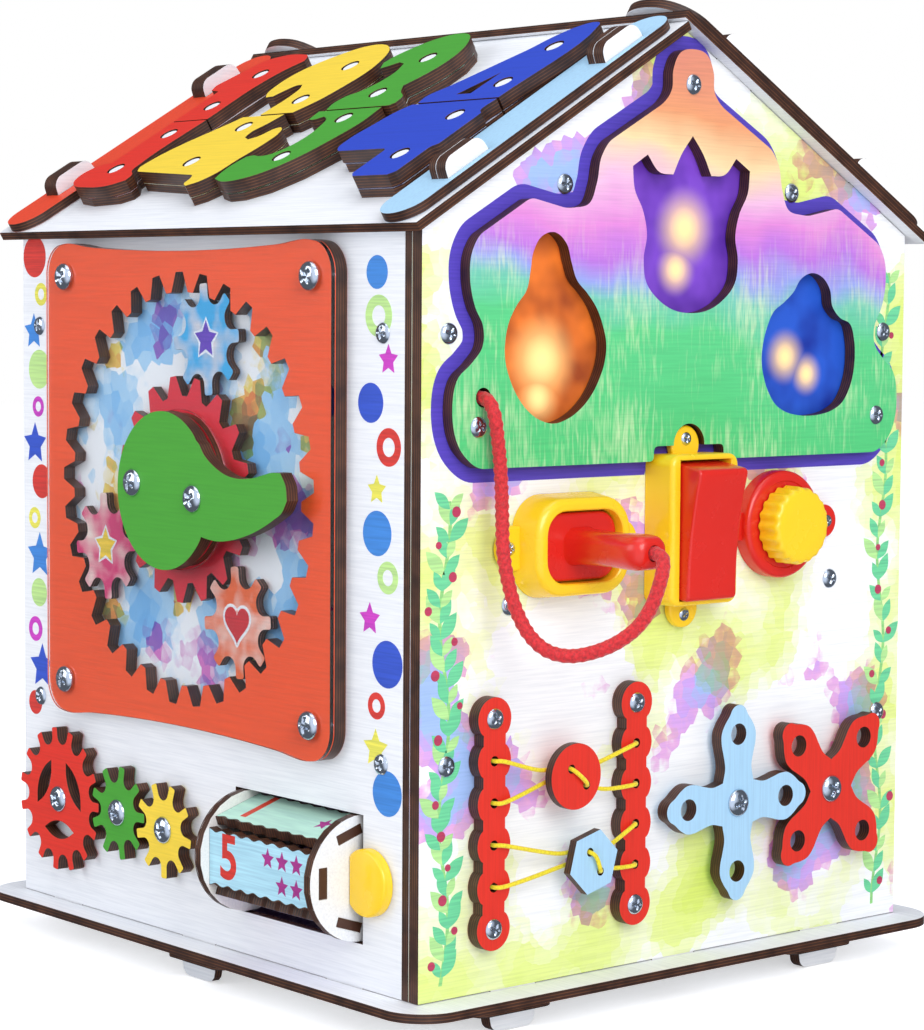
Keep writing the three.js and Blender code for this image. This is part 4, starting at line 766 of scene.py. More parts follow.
def facade_print(tree, place):
    """White with washes of lime, and of pink, violet and light blue elsewhere; the tabs that pass
    through the roof and the base plate stay white."""
    lime = mosaic(tree, place, (0.0, "#FBFCFD"), (0.47, "#FBFCFD"), (0.52, "#F6FBD4"), (0.6, "#EAF79A"),
                  (0.72, "#DFF272"))
    cool = mosaic(tree, place, (0.0, "#8DB4F2"), (0.33, "#A9C6F8"), (0.38, "#D6A8F4"), (0.405, "#F0B4E6"),
                  (0.42, "#FFFFFF"), (1.0, "#FFFFFF"), offset=(0.3, 0.17, 0.41))
    printed = mix(tree, 1.0, lime, cool, "MULTIPLY")
    thickness = min(NEAR_ROOF.levels("batten_blue")) * MM
    limits = [(roof.out, roof.origin.dot(roof.out) + thickness) for roof in (NEAR_ROOF, FAR_ROOF)]
    limits.append((Vector((0, 0, -1)), -GROUND))
    beyond = 0.0
    for direction, limit in limits:
        over = maths(tree, "GREATER_THAN", vectors(tree, "DOT_PRODUCT", place, direction), limit)
        beyond = maths(tree, "MAXIMUM", beyond, over)
    return mix(tree, beyond, printed, linear("#FBFCFD"))


def ring_print(tree, place):
    """The board behind the gears: white and light blue washes with a few warm blots."""
    cool = mosaic(tree, place, (0.0, "#4F9FE4"), (0.38, "#7FC0F2"), (0.5, "#B4DCF8"), (0.54, "#FAFCFE"),
                  (1.0, "#FAFCFE"), tile=1000 / 7, patch=1000 / 40)
    warm = mosaic(tree, place, (0.0, "#B458C8"), (0.34, "#E07CC8"), (0.4, "#FFFFFF"), (0.6, "#FFFFFF"),
                  (0.63, "#F8DC6A"), (0.7, "#F08A4A"), tile=1000 / 6, patch=1000 / 34,
                  offset=(0.5, 0.2, 0.7))
    return mix(tree, 1.0, cool, warm, "MULTIPLY")


def sky_and_grass(tree, place):
    """The light panel: green grass below, through blue and magenta to a peach and lilac sky."""
    low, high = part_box("light_panel")
    ways = add(tree, "SeparateXYZ", {0: place})
    height = ranged(tree, ways.outputs["Z"], low.z, high.z)
    drift = ranged(tree, noise(tree, place, 1000 / 75, 3.0), 0.0, 1.0, -0.16, 0.16)
    tilt = ranged(tree, ways.outputs["Y"], low.y, high.y, -0.06, 0.07)
    at = maths(tree, "ADD", height, maths(tree, "ADD", drift, tilt))
    sky = ramp(tree, at, (0.0, "#52CC7A"), (0.31, "#5CD288"), (0.4, "#74CCB4"), (0.45, "#98A4E8"),
               (0.5, "#C078E0"), (0.57, "#E48CD8"), (0.65, "#F2BEE0"), (0.75, "#F8DCA8"), (0.86, "#EFA070"),
               (1.0, "#E28E74"))
    blades = vectors(tree, "MULTIPLY", place, (1, 1000 / 1.6, 1000 / 15))
    blade = noise(tree, blades, 1.0, 2.0, Distortion=0.6)
    tall = maths(tree, "MULTIPLY", blade, noise(tree, place, 1000 / 45, 2.0))
    lit = ranged(tree, tall, 0.24, 0.44, 0.0, 0.5)
    share = maths(tree, "MULTIPLY", lit, ranged(tree, at, 0.62, 0.42))
    return mix(tree, share, sky, linear("#F2FBC8"))


def lit_pictures():
    """Opal acrylic with a print on it, lit from behind: three plain colours, one to a window, each
    paler and warmer over its lamps."""
    material, tree, shader = new_material("printed opal acrylic", 0.32, ior=1.49)
    place = object_place(tree)
    ways = add(tree, "SeparateXYZ", {0: place})
    low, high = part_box("light_panel")
    base = add(tree, "ValToRGB", {"Fac": ranged(tree, ways.outputs["Y"], low.y, high.y)},
               stops=[(0.0, "#E8772A"), (0.335, "#7A46C4"), (0.645, "#2456C4")])
    base.color_ramp.interpolation = "CONSTANT"
    tone = ramp(tree, noise(tree, place, 1000 / 24, 2.0), (0.3, "#8C6CB0"), (0.62, "#FFFFFF"))
    print_colour = mix(tree, 0.8, base.outputs[0], tone, "MULTIPLY")
    glow = 0.0
    for y, z, reach in LAMP_SPOTS:
        arm = vectors(tree, "DISTANCE", place, SWITCH_SIDE.at(y, z, -SEAM))
        near = ranged(tree, arm, 0.0, reach * MM, 1.0, 0.0, interpolation_type="SMOOTHSTEP")
        glow = maths(tree, "MAXIMUM", glow, near)
    lit = ramp(tree, glow, (0.0, "#000000"), (0.5, "#6A3C18"), (1.0, "#FFDE96"))
    tree.links.new(mix(tree, glow, print_colour, linear("#FFD98C")), shader.inputs["Base Color"])
    tree.links.new(mix(tree, 0.35, lit, print_colour), shader.inputs["Emission Color"])
    shader.inputs["Emission Strength"].default_value = 0.5
    return material


# Where the lamps shine through, across and up the switch gable, and how far their light reaches
LAMP_SPOTS = [(-80, 262, 22), (-82, 246, 14), (2, 318, 20), (-3, 300, 13), (66, 262, 14), (80, 254, 11)]


class Operation:
    """What every operator of this file shares."""
    bl_options = {"REGISTER", "UNDO"}


# Camera and cords

CAMERA_PLACE = (1.03995, -0.87930, 0.30497)
CAMERA_AZIMUTH = math.radians(50.04)
CAMERA_FALL = math.radians(4.12)
CAMERA_ROLL = math.radians(0.35)
CAMERA_FOCUS = 2895.85  # focal length in pixels of the photograph
PHOTO_WIDTH = 924
PHOTO_HEIGHT = 1030
CENTRE_X = 442.68  # pixel where the lens points
CENTRE_Y = 506.65


class BUSY_OT_camera(Operation, bpy.types.Operator):
    """Set the camera at the photograph's viewpoint"""
    bl_idname = "busy.camera"
    bl_label = "Camera"

    def execute(self, context):
        data = bpy.data.cameras.new("camera")
        data.sensor_width = 36
        data.lens = CAMERA_FOCUS * data.sensor_width / PHOTO_HEIGHT
        data.shift_x = (PHOTO_WIDTH / 2 - CENTRE_X) / PHOTO_HEIGHT
        data.shift_y = (CENTRE_Y - PHOTO_HEIGHT / 2) / PHOTO_HEIGHT
        camera = bpy.data.objects.new("camera", data)
        context.scene.collection.objects.link(camera)
        look = Vector((-math.sin(CAMERA_AZIMUTH) * math.cos(CAMERA_FALL),
                       math.cos(CAMERA_AZIMUTH) * math.cos(CAMERA_FALL), -math.sin(CAMERA_FALL)))
        turn = look.to_track_quat("-Z", "Y").to_matrix().to_4x4() @ Matrix.Rotation(CAMERA_ROLL, 4, "Z")
        camera.matrix_world = Matrix.Translation(CAMERA_PLACE) @ turn
        context.scene.camera = camera
        return {"FINISHED"}


# The rope's route on the switch gable, from inside the plug's tip to its hole: across, up and out
ROPE_ROUTE = [
    (-67.5, 184.4, 47), (-67.5, 184.4, 52), (-67.7, 184.3, 57), (-68.9, 182.4, 61.4), (-71, 178.5, 63.6),
    (-73.5, 172, 64), (-76.3, 163.5, 62.4), (-80.3, 155.6, 58.8), (-86, 149.3, 53.2), (-93.1, 145, 46),
    (-99.4, 143.4, 38.5), (-104.5, 145.3, 31.5), (-108.3, 151, 25.5), (-111.2, 160.6, 20.6),
    (-113, 173, 17), (-113.4, 185.3, 14.4), (-112.4, 197.2, 12.6), (-112.2, 209.3, 11.8), (-113.4, 221.7, 12),
    (-115.3, 232.5, 12.4), (-116.8, 240.5, 12.2), (-117.4, 245.4, 9.6), (-117.5, 246.8, 5.6),
    (-117.5, 247, 0), (-117.5, 247, -7), (-117.5, 247, -14),
]
BRAID_PITCH = 15.0  # one strand's turn round the rope
BRAID_DEPTH = 0.38


class BUSY_OT_rope(Operation, bpy.types.Operator):
    """Braid the rope between the plug and its hole in the light panel"""
    bl_idname = "busy.rope"
    bl_label = "Rope"

    def execute(self, context):
        radius = sizes().rope_radius
        strands = sizes().braid_strands
        route = smooth_path([SWITCH_SIDE.at(*point) for point in reversed(ROPE_ROUTE)])
        path, length = even_path(route, 0.7 * MM)

        def braided(run, angle):
            """Two sets of strands, one each way round, that pass over each other in turn."""
            along = 2 * math.pi * run / (BRAID_PITCH * MM)
            one = math.cos(strands / 2 * (angle + along))
            other = math.cos(strands / 2 * (angle - along))
            crown = max(one * (1 + 0.35 * other), other * (1 + 0.35 * one))
            return (radius - BRAID_DEPTH + BRAID_DEPTH * max(-0.6, min(1.0, crown))) * MM

        vertices, faces = tube_mesh(path, braided, 40)
        fibre = dipped_cord("braided polyester", paint_of("rope"), "#A8121C", 1.1)
        rope = mesh_piece("braided_rope", vertices, faces, fibre, "house", slot="rope_fibre", sharp=60)
        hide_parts("rope")
        freed(rope)
        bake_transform(rope)
        return {"FINISHED"}


# House shell

def dress(node, material):
    """Gives a CAD node its finish."""
    target = frame["nodes"][node]
    target.data.materials.clear()
    target.data.materials.append(material)


class BUSY_OT_house(Operation, bpy.types.Operator):
    """Finish the base plate, walls, gables and roof"""
    bl_idname = "busy.house"
    bl_label = "House"

    def execute(self, context):
        white = paint_of("white")
        faces = {
            "wall_gear": (GEAR_SIDE, "x", None), "wall_far": (REAR_SIDE, "x", None),
            "gable_near_facade": (SWITCH_SIDE, "y", facade_print),
            "gable_near_inner": (SWITCH_SIDE, "y", None), "gable_far": (PLAIN_SIDE, "y", None),
            "roof_near": (NEAR_ROOF, "x", None), "roof_far": (FAR_ROOF, "x", None),
        }
        for node, (wall, grain, face) in faces.items():
            birch = laser_birch("lacquered birch, " + node, wall, max(wall.levels(node)), white, grain,
                                face=face)
            if node.startswith("gable"):
                recut(node, wall, birch, "house", "white_ply")
            elif node == "roof_far":
                self.far_roof(birch)
            else:
                dress(node, birch)
        self.base(white)
        for node, paint in {"batten_blue": "sky", "batten_orange": "orange"}.items():
            birch = laser_birch("painted birch, " + node, NEAR_ROOF, max(NEAR_ROOF.levels(node)),
                                paint_of(paint), "y")
            recut(node, NEAR_ROOF, birch, "house", paint + "_ply")
        return {"FINISHED"}

    def far_roof(self, birch):
        """The far roof panel with its two battens."""
        low, *_, middle, high = sorted({round(level, 1) for level in FAR_ROOF.levels("roof_far")})
        below = Wall(FAR_ROOF.origin, (1, 0, 0), (0, -ROOF_OUT.z, -ROOF_OUT.y))
        panels = [(mirrored(group), low, middle) for group in groups("roof_far", below)]
        battens = [(group, middle, high) for group in groups("roof_far", FAR_ROOF)]
        soften(sheets_piece("roof_far_cut", FAR_ROOF, panels + battens, birch, "house", slot="white_ply",
                            replaces=["roof_far"]))

    def base(self, white):
        """The base plate and the foot strips under it."""
        birch = laser_birch("lacquered birch, base plate", TOP, -SEAM, white)
        low, high = TOP.span("base_plate")
        middle = high - 3 * sizes().ply_layer
        plates = [(group, middle, high) for group in groups("base_plate", TOP)]
        strips = [(mirrored(group), low, middle) for group in groups("base_plate", UNDERSIDE)]
        soften(sheets_piece("base_and_feet", TOP, plates + strips, birch, "house", slot="white_ply",
                            replaces=["base_plate"]))


def groups(node, wall):
    """The outlines of a node's outermost face on a side, each with the holes in it."""
    loops = [refined(loop) for loop in cap_loops(node, wall)]
    holes = [loop for loop in loops if signed_area(loop) < 0]
    return [[loop, *(hole for hole in holes if inside(hole[0], loop))]
            for loop in loops if signed_area(loop) > 0]


def mirrored(group):
    """Outlines seen from behind, as they lie from the front."""
    return [[(-x, y) for x, y in reversed(loop)] for loop in group]


def mean(loop):
    return sum(x for x, _ in loop) / len(loop), sum(y for _, y in loop) / len(loop)


def signed_area(loop):
    return sum(x1 * y2 - x2 * y1 for (x1, y1), (x2, y2) in zip(loop, loop[1:] + loop[:1])) / 2


def inside(point, loop):
    """Whether a point lies inside an outline."""
    x, y = point
    hits = 0
    for (x1, y1), (x2, y2) in zip(loop, loop[1:] + loop[:1]):
        if (y1 > y) != (y2 > y) and x < (x2 - x1) * (y - y1) / (y2 - y1) + x1:
            hits += 1
    return hits % 2 == 1


PEG_OVER = SEAM / 6  # how far a round peg covers its faceted one
PEG_LENGTH = 6


class BUSY_OT_digits(Operation, bpy.types.Operator):
    """Cut the eight halves of the roof's digits and round the pegs that hold them"""
    bl_idname = "busy.digits"
    bl_label = "Roof digits"

    def execute(self, context):
        for digit, paint in enumerate(("red", "yellow", "green", "blue"), 1):
            for half in ("upper", "lower"):
                node = f"digit_{digit}_{half}"
                birch = laser_birch("painted birch, " + node, NEAR_ROOF, max(NEAR_ROOF.levels(node)),
                                    paint_of(paint), "x", 0.45)
                recut(node, NEAR_ROOF, birch, node, paint + "_ply", sharp=48)
        self.pegs()
        return {"FINISHED"}

    def pegs(self):
        """Round pegs over the faceted ones that stand on the roof panel."""
        top = max(NEAR_ROOF.levels("roof_near"))
        birch = laser_birch("lacquered birch, pegs", NEAR_ROOF, top, paint_of("white"))
        parts = []
        for loop in cap_loops("roof_near", NEAR_ROOF):
            x, y = mean(loop)
            reach = max(math.dist(p, (x, y)) for p in loop)
            parts.append(([circle(x, y, reach + PEG_OVER)], top - PEG_LENGTH, top + PEG_OVER))
        soften(sheets_piece("round_pegs", NEAR_ROOF, parts, birch, "house", slot="white_ply"), 0.3)


# Ring game

PLANET_TEETH = 8
PLANET_TIP = 24.6
PLANET_ROOT = 16.2
PLANET_TOOTH = 5.8  # width of a tooth
PLANET_SKIN = 1.4
PIN_BORE = 4.25
RING_PRINT = 96  # radius of the wall's print behind the gears
SUN_DISCS = [(34, 96, 5.9, 9.9), (28, 72, 9.8, 11.7)]  # radius, corners, lowest and highest level


class BUSY_OT_ring_game(Operation, bpy.types.Operator):
    """Dress the ring panel, its clear cover, the sun and planet gears and the green handle"""
    bl_idname = "busy.ring_game"
    bl_label = "Ring game"

    def execute(self, context):
        x, y = GEAR_SIDE.middle("ring_panel")
        centre = GEAR_SIDE.turned(x, y)
        panel = laser_birch("painted birch, ring panel", GEAR_SIDE, SHEET_TOP, paint_of("ring"), "x", 0.35)
        recut("ring_panel", GEAR_SIDE, panel, "house", "orange_ply")
        recut("ring_cover", GEAR_SIDE, clear_acrylic(), "house", "clear_plastic")
        self.board(centre)
        self.sun(centre)
        handle = laser_birch("painted birch, handle", GEAR_SIDE, HANDLE_TOP, paint_of("green"), "x", 0.5)
        recut("knob_handle", GEAR_SIDE, handle, "sun", "green_ply")
        planets = {"planet_gear_blue": ("#34B0EA", "sky_ply"), "planet_gear_pink": ("#E23A78", "pink_ply"),
                   "planet_gear_orange": ("#F06A34", "orange_ply")}
        for node, (paint, slot) in planets.items():
            birch = laser_birch("printed birch, " + node, GEAR_SIDE, PLANET_TOP, linear(paint), "x", 0.45,
                                face=planet_wash(paint))
            self.planet(node, birch, slot)
        dress("planet_carrier", moulded_abs("clear-coated spider", linear("#DCE4EA")))
        dress("sun_axle", chromed_steel())
        self.motifs()
        return {"FINISHED"}

    def board(self, centre):
        """The printed round of the wall behind the gears."""
        material, tree, shader = new_material("printed wall behind the gears", 0.5, ior=1.5)
        tree.links.new(ring_print(tree, object_place(tree)), shader.inputs["Base Color"])
        round_print = [circle(0, 0, RING_PRINT, 96), circle(0, 0, 6, 24)[::-1]]
        sheets_piece("ring_board_print", centre, [(round_print, 0.02, 0.12)], material, "house",
                     slot="white_ply")

    def sun(self, centre):
        """The toothed wheel, its raised disc and the spacer under the handle."""
        wheel = cap_loops("sun_gear", centre, SUN_TOP)[0]
        parts = [([wheel], min(centre.levels("sun_gear")), SUN_TOP)]
        parts += [([circle(0, 0, radius, corners)], low, high) for radius, corners, low, high in SUN_DISCS]
        birch = laser_birch("painted birch, sun gear", GEAR_SIDE, SUN_TOP, paint_of("crimson"), "x", 0.4)
        soften(sheets_piece("sun_wheel", centre, parts, birch, "sun", slot="red_ply",
                            replaces=["sun_gear"]))

    def planet(self, node, birch, slot):
        """A small gear with round gaps, closed in front over the bore for its pin."""
        outline = cog(PLANET_TEETH, tooth_phase(node, GEAR_SIDE, PLANET_TEETH), PLANET_TIP, PLANET_ROOT,
                      PLANET_TOOTH / 2, 1.3)
        low, high = GEAR_SIDE.span(node)
        bore = circle(0, 0, PIN_BORE, 32)[::-1]
        parts = [([outline, bore], low, high - PLANET_SKIN), ([outline], high - PLANET_SKIN, high)]
        soften(sheets_piece(node + "_cut", GEAR_SIDE.turned(*GEAR_SIDE.middle(node)), parts, birch,
                            node.replace("gear_", ""), slot=slot, replaces=[node]))

    def motifs(self):
        """One plain shape on each planet."""
        shapes = {"blue": (star(8.5, 5, 0.5), "#6A3FC0"), "pink": (star(8.5, 5, 0.5), "#FFD83A"),
                  "orange": (heart(9.5), "#D8202C")}
        for name, (shape, ink) in shapes.items():
            node = "planet_gear_" + name
            spot = GEAR_SIDE.turned(*GEAR_SIDE.middle(node))
            low = PLANET_TOP - 0.2
            pale = printed_ink("white ink, " + name, linear("#F8FAFC"))
            sheets_piece(f"planet_{name}_halo", spot, [([grown(shape, 1.4)], low, PLANET_TOP + PRINT_LIFT)],
                         pale, "planet_" + name)
            sheets_piece(f"planet_{name}_motif", spot, [([shape], low, PLANET_TOP + 2 * PRINT_LIFT)],
                         printed_ink("ink, " + name, linear(ink)), "planet_" + name)


def planet_wash(paint):
    """A planet's face: its colour, lighter in clouds."""
    def face(tree, place):
        return ramp(tree, noise(tree, place, 1000 / 16, 2.0), (0.42, paint), (0.72, "#F8E4D8"))
    return face


def star(radius, arms, waist):
    return [(radius * (1 if i % 2 == 0 else waist) * math.sin(math.pi * i / arms),
             radius * (1 if i % 2 == 0 else waist) * math.cos(math.pi * i / arms))
            for i in reversed(range(2 * arms))]


def heart(width, count=40):
    """A heart round the origin, from the common sine curve."""
    points = []
    for i in range(count):
        t = 2 * math.pi * i / count
        x = 16 * math.sin(t) ** 3
        y = 13 * math.cos(t) - 5 * math.cos(2 * t) - 2 * math.cos(3 * t) - math.cos(4 * t)
        points.append((x * width / 17, y * width / 17))
    return points[::-1]


def leaf(length, width, count=8):
    """A lens-shaped leaf from the origin along x."""
    lower = [(length * k / count, -width / 2 * math.sin(math.pi * k / count)) for k in range(count)]
    upper = [(length * k / count, width / 2 * math.sin(math.pi * k / count)) for k in range(count, 0, -1)]
    return lower + upper


# Small gears and the drum

SMALL_TOOTH = 4.4  # width of a small gear's tooth


class BUSY_OT_small_gears(Operation, bpy.types.Operator):
    """Paint the three meshed gears and put their domed bolts in"""
    bl_idname = "busy.small_gears"
    bl_label = "Small gears"

    def execute(self, context):
        for name, teeth in {"red": 15, "green": 9, "yellow": 9}.items():
            node = "gear_" + name
            birch = laser_birch(f"painted birch, {name} gear", GEAR_SIDE, SMALL_GEAR_TOP, paint_of(name))
            self.wheel(node, name + "_gear", birch, name + "_ply", teeth)
            bolt(node + "_bolt", GEAR_SIDE)
        return {"FINISHED"}

    def wheel(self, node, body, birch, slot, teeth):
        """A gear with round gaps, round its own bore and lens-shaped holes."""
        x, y = GEAR_SIDE.middle(node)
        here = GEAR_SIDE.turned(x, y)
        outline, *holes = cap_loops(node, here)
        tip = max(math.hypot(*point) for point in outline)
        root = min(math.hypot(*point) for point in outline) - 0.6
        cut = cog(teeth, tooth_phase(node, GEAR_SIDE, teeth), tip, root, SMALL_TOOTH / 2)
        holes = [turned(refined(hole), math.pi / 3 + 0.013) for hole in holes]
        low, high = here.span(node)
        soften(sheets_piece(node + "_cut", here, [([cut, *holes], low, high)], birch, body, slot=slot,
                            replaces=[node]))


BOARDS = 5
BOARD_WAVES = 8
BOARD_WASHES = ["#B4E4F4", "#C4F0DC", "#F8D9E8", "#FBEFB0", "#D6CCF4"]
DIGIT_INKS = ["#DE2A1C", "#E0442A", "#2D6FD0", "#3A9A34", "#E0701E"]


class BUSY_OT_drum(Operation, bpy.types.Operator):
    """Make the number drum's discs, wavy boards and prints, and its caps"""
    bl_idname = "busy.drum"
    bl_label = "Number drum"

    def execute(self, context):
        low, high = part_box("number_drum")
        centre = (low + high) / 2
        for part in range(BOARDS):
            self.board(centre, low, high, part)
        self.discs(centre, low, high)
        drum_birch = laser_birch("raw birch, drum", Wall(centre, (0, 1, 0), (0, 0, 1)), 40,
                                 linear("#F2EFEA"), face=drum_face)
        dress("number_drum", drum_birch)
        dress("drum_axle", drum_birch)
        for node in ("drum_cap_right", "drum_cap_left"):
            cap(node)
        return {"FINISHED"}

    def board(self, centre, low, high, part):
        """One board's print: a light wash with its digit and as many stars."""
        angle = part * 2 * math.pi / BOARDS
        out = Vector((0, -math.cos(angle), math.sin(angle)))
        side = Wall(centre + out * 22 * MM, (1, 0, 0), Vector((1, 0, 0)).cross(out) * -1)
        half = (high.x - low.x) / 2 / MM - 4.5
        edge = []
        for k in range(65):
            along = 2 * k / 64
            edge.append((half * (along - 1), 11.6 + 0.6 * math.cos(BOARD_WAVES * math.pi * along)))
        outline = [(x, -y) for x, y in edge] + edge[::-1]
        number = (part - 1) % BOARDS + 1
        wash = printed_ink(f"drum wash {part}", linear(BOARD_WASHES[part]))
        sheets_piece(f"drum_print_{part}", side, [([outline], -0.05, PRINT_LIFT)], wash, "drum",
                     slot="sky_ply")
        ink = printed_ink(f"drum ink {part}", linear(DIGIT_INKS[part]))
        digit_piece(f"drum_digit_{number}", str(number), side.turned(-half + 14, -7.5, PRINT_LIFT), 19, ink,
                    "drum")
        dots = []
        for k in range(number):
            spot = (half - 12 - 11 * k, 0)
            if number > 3:
                spot = (half - 11 - 10 * (k % 3), 5.2 - 10.4 * (k // 3))
            dots.append(([moved(star(4.6, 5, 0.45), *spot)], PRINT_LIFT - 0.05, 2 * PRINT_LIFT))
        sheets_piece(f"drum_dots_{part}", side, dots, printed_ink(f"drum dots {part}", linear("#B02A8C")),
                     "drum")

    def discs(self, centre, low, high):
        """White faces on the outer sides of the two discs, round their board slots."""
        for name, x, right in (("right", high.x, (0, 1, 0)), ("left", low.x, (0, -1, 0))):
            side = Wall((x, centre.y, centre.z), right, (0, 0, 1))
            loops = [circle(0, 0, 26.7, 96), circle(0, 0, 2.4, 24)[::-1]]
            for part in range(BOARDS):
                angle = part * 2 * math.pi / BOARDS
                box = rounded_box(4.4, 13.4, 0.3, 2)
                spun = turned(moved(box, 20, 0), math.pi - angle if name == "right" else angle)
                loops.append(spun[::-1])
            white = laser_birch("lacquered birch, disc " + name, side, 0, paint_of("white"))
            sheets_piece(f"drum_disc_{name}", side, [(loops, -0.6, 0.05)], white, "drum", slot="white_ply")


def drum_face(tree, place):
    """Pale birch inside the discs; the boards' ends that come through them are burnt."""
    low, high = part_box("number_drum")
    ways = add(tree, "SeparateXYZ", {0: place})
    arm = maths(tree, "ABSOLUTE", maths(tree, "SUBTRACT", ways.outputs["X"], (low.x + high.x) / 2))
    outside = maths(tree, "GREATER_THAN", arm, (high.x - low.x) / 2 - 0.2 * MM)
    return mix(tree, outside, linear("#F2EFEA"), linear("#4A2A1C"))


FONT_SHARE = 1.4  # the font's size over the height of its digits
FONT_BOLD = 0.035  # how far the strokes are thickened, over the same height


def digit_piece(name, text, wall, height, material, body):
    """A plain printed digit, from Blender's own font."""
    curve = bpy.data.curves.new(name, "FONT")
    curve.body = text
    curve.size = height * MM * FONT_SHARE
    curve.extrude = PRINT_LIFT * MM / 2
    curve.offset = FONT_BOLD * height * MM
    curve.align_x = "CENTER"
    holder = bpy.data.objects.new(name + "_text", curve)
    bpy.context.scene.collection.objects.link(holder)
    bpy.context.view_layer.update()
    mesh = bpy.data.meshes.new_from_object(holder.evaluated_get(bpy.context.evaluated_depsgraph_get()))
    bpy.data.objects.remove(holder)
    mesh.name = name
    basis = Matrix((wall.right, wall.up, wall.out)).transposed().to_4x4()
    mesh.transform(Matrix.Translation(wall.origin) @ basis)
    mesh.materials.clear()
    mesh.materials.append(material)
    piece = bpy.data.objects.new(name, mesh)
    bpy.context.scene.collection.objects.link(piece)
    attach(piece, body)
    return piece


CAP_TOP = 4.8
CAP_REACH = 14  # about half a cap's width


def cap(node):
    """A moulded cap with a rounded rim, over the drum's axle end."""
    loop = grown(refined(cap_loops(node, GEAR_SIDE, CAP_TOP)[0]), 0.55)
    x, y = mean(loop)
    sections = []
    for inset, off in filleted(SEAM, CAP_TOP, 1.4):
        share = 1 - inset / CAP_REACH
        sections.append(([(x + (px - x) * share, y + (py - y) * share) for px, py in loop], off))
    yellow = moulded_abs("moulded ABS, " + node, paint_of("plastic_yellow"))
    loft_piece(node + "_moulded", GEAR_SIDE, sections, yellow, "house", slot="yellow_plastic",
               replaces=[node])


# Fasteners

STEEL = []


def steel():
    if not STEEL:
        STEEL.append(chromed_steel())
    return STEEL[0]


def head_mesh(wall, radius, dome, seat, tail, start=0, turn=0.4, count=48, rings=16):
    """A domed head with a cross recess, down to seat and with a plain shank to tail."""
    vertices, faces = [], []
    arm = 0.13 * radius
    reach = 0.52 * radius
    deep = 0.5 * dome

    def height(x, y, r):
        c, s = math.cos(turn), math.sin(turn)
        u, v = abs(x * c - y * s), abs(x * s + y * c)
        crown = seat + dome * (1 - (r / radius) ** 2.4) ** 0.62
        slot = max(cut_share(u, arm) * cut_share(v, reach), cut_share(v, arm) * cut_share(u, reach))
        return crown - deep * slot

    for ring in range(rings):
        r = radius * (ring + 0.15) / (rings - 1 + 0.15)
        for i in range(count):
            angle = 2 * math.pi * i / count
            x, y = r * math.cos(angle), r * math.sin(angle)
            vertices.append(wall.at(x, y, height(x, y, min(r, radius))))
    shank = 3.0 if radius > 5 else 1.8
    for r, off in ((radius, seat - 0.25), (shank, seat - 0.3), (shank, tail)):
        for i in range(count):
            angle = 2 * math.pi * i / count
            vertices.append(wall.at(r * math.cos(angle), r * math.sin(angle), off))
    total = rings + 3
    for ring in range(total - 1):
        for i in range(count):
            a = start + ring * count + i
            b = start + ring * count + (i + 1) % count
            faces.append((b, a, a + count, b + count))
    faces.append(tuple(start + i for i in range(count)))
    faces.append(tuple(start + (total - 1) * count + i for i in reversed(range(count))))
    return vertices, faces


def cut_share(distance, limit):
    """1 inside a cut, falling to 0 just past its limit."""
    return min(1.0, max(0.0, (limit * 1.25 - distance) / (limit * 0.5)))


def bolt(node, wall):
    """A domed bolt in place of its node, with its shank and nut."""
    x, y = wall.middle(node)
    low, high = wall.span(node)
    here = wall.turned(x, y)
    dome = sizes().bolt_dome
    vertices, faces = head_mesh(here, sizes().bolt_radius, dome, high - dome, low, turn=0.4 + x)
    nut_vertices, nut_faces = sheet_mesh(here, [circle(0, 0, 5.2, 6)], low, low + 2.6, len(vertices))
    body = frame["nodes"][node]["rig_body"]
    mesh_piece(node + "_domed", vertices + nut_vertices, faces + nut_faces, steel(), body, slot="steel",
               replaces=[node])


def screws(name, wall, places, off, radius, dome, body="house"):
    """Screw heads at places on a side, sitting off above its face."""
    vertices, faces = [], []
    for k, (x, y) in enumerate(places):
        more, more_faces = head_mesh(wall.turned(x, y), radius, dome, off + 0.3, off - 3, len(vertices),
                                     0.7 * k + 0.3, count=40, rings=12)
        vertices += more
        faces += more_faces
    return mesh_piece(name, vertices, faces, steel(), body, slot="steel")


RING_BOLT = 94  # from the ring panel's middle, as the next
HANDLE_BOLT = 23.3


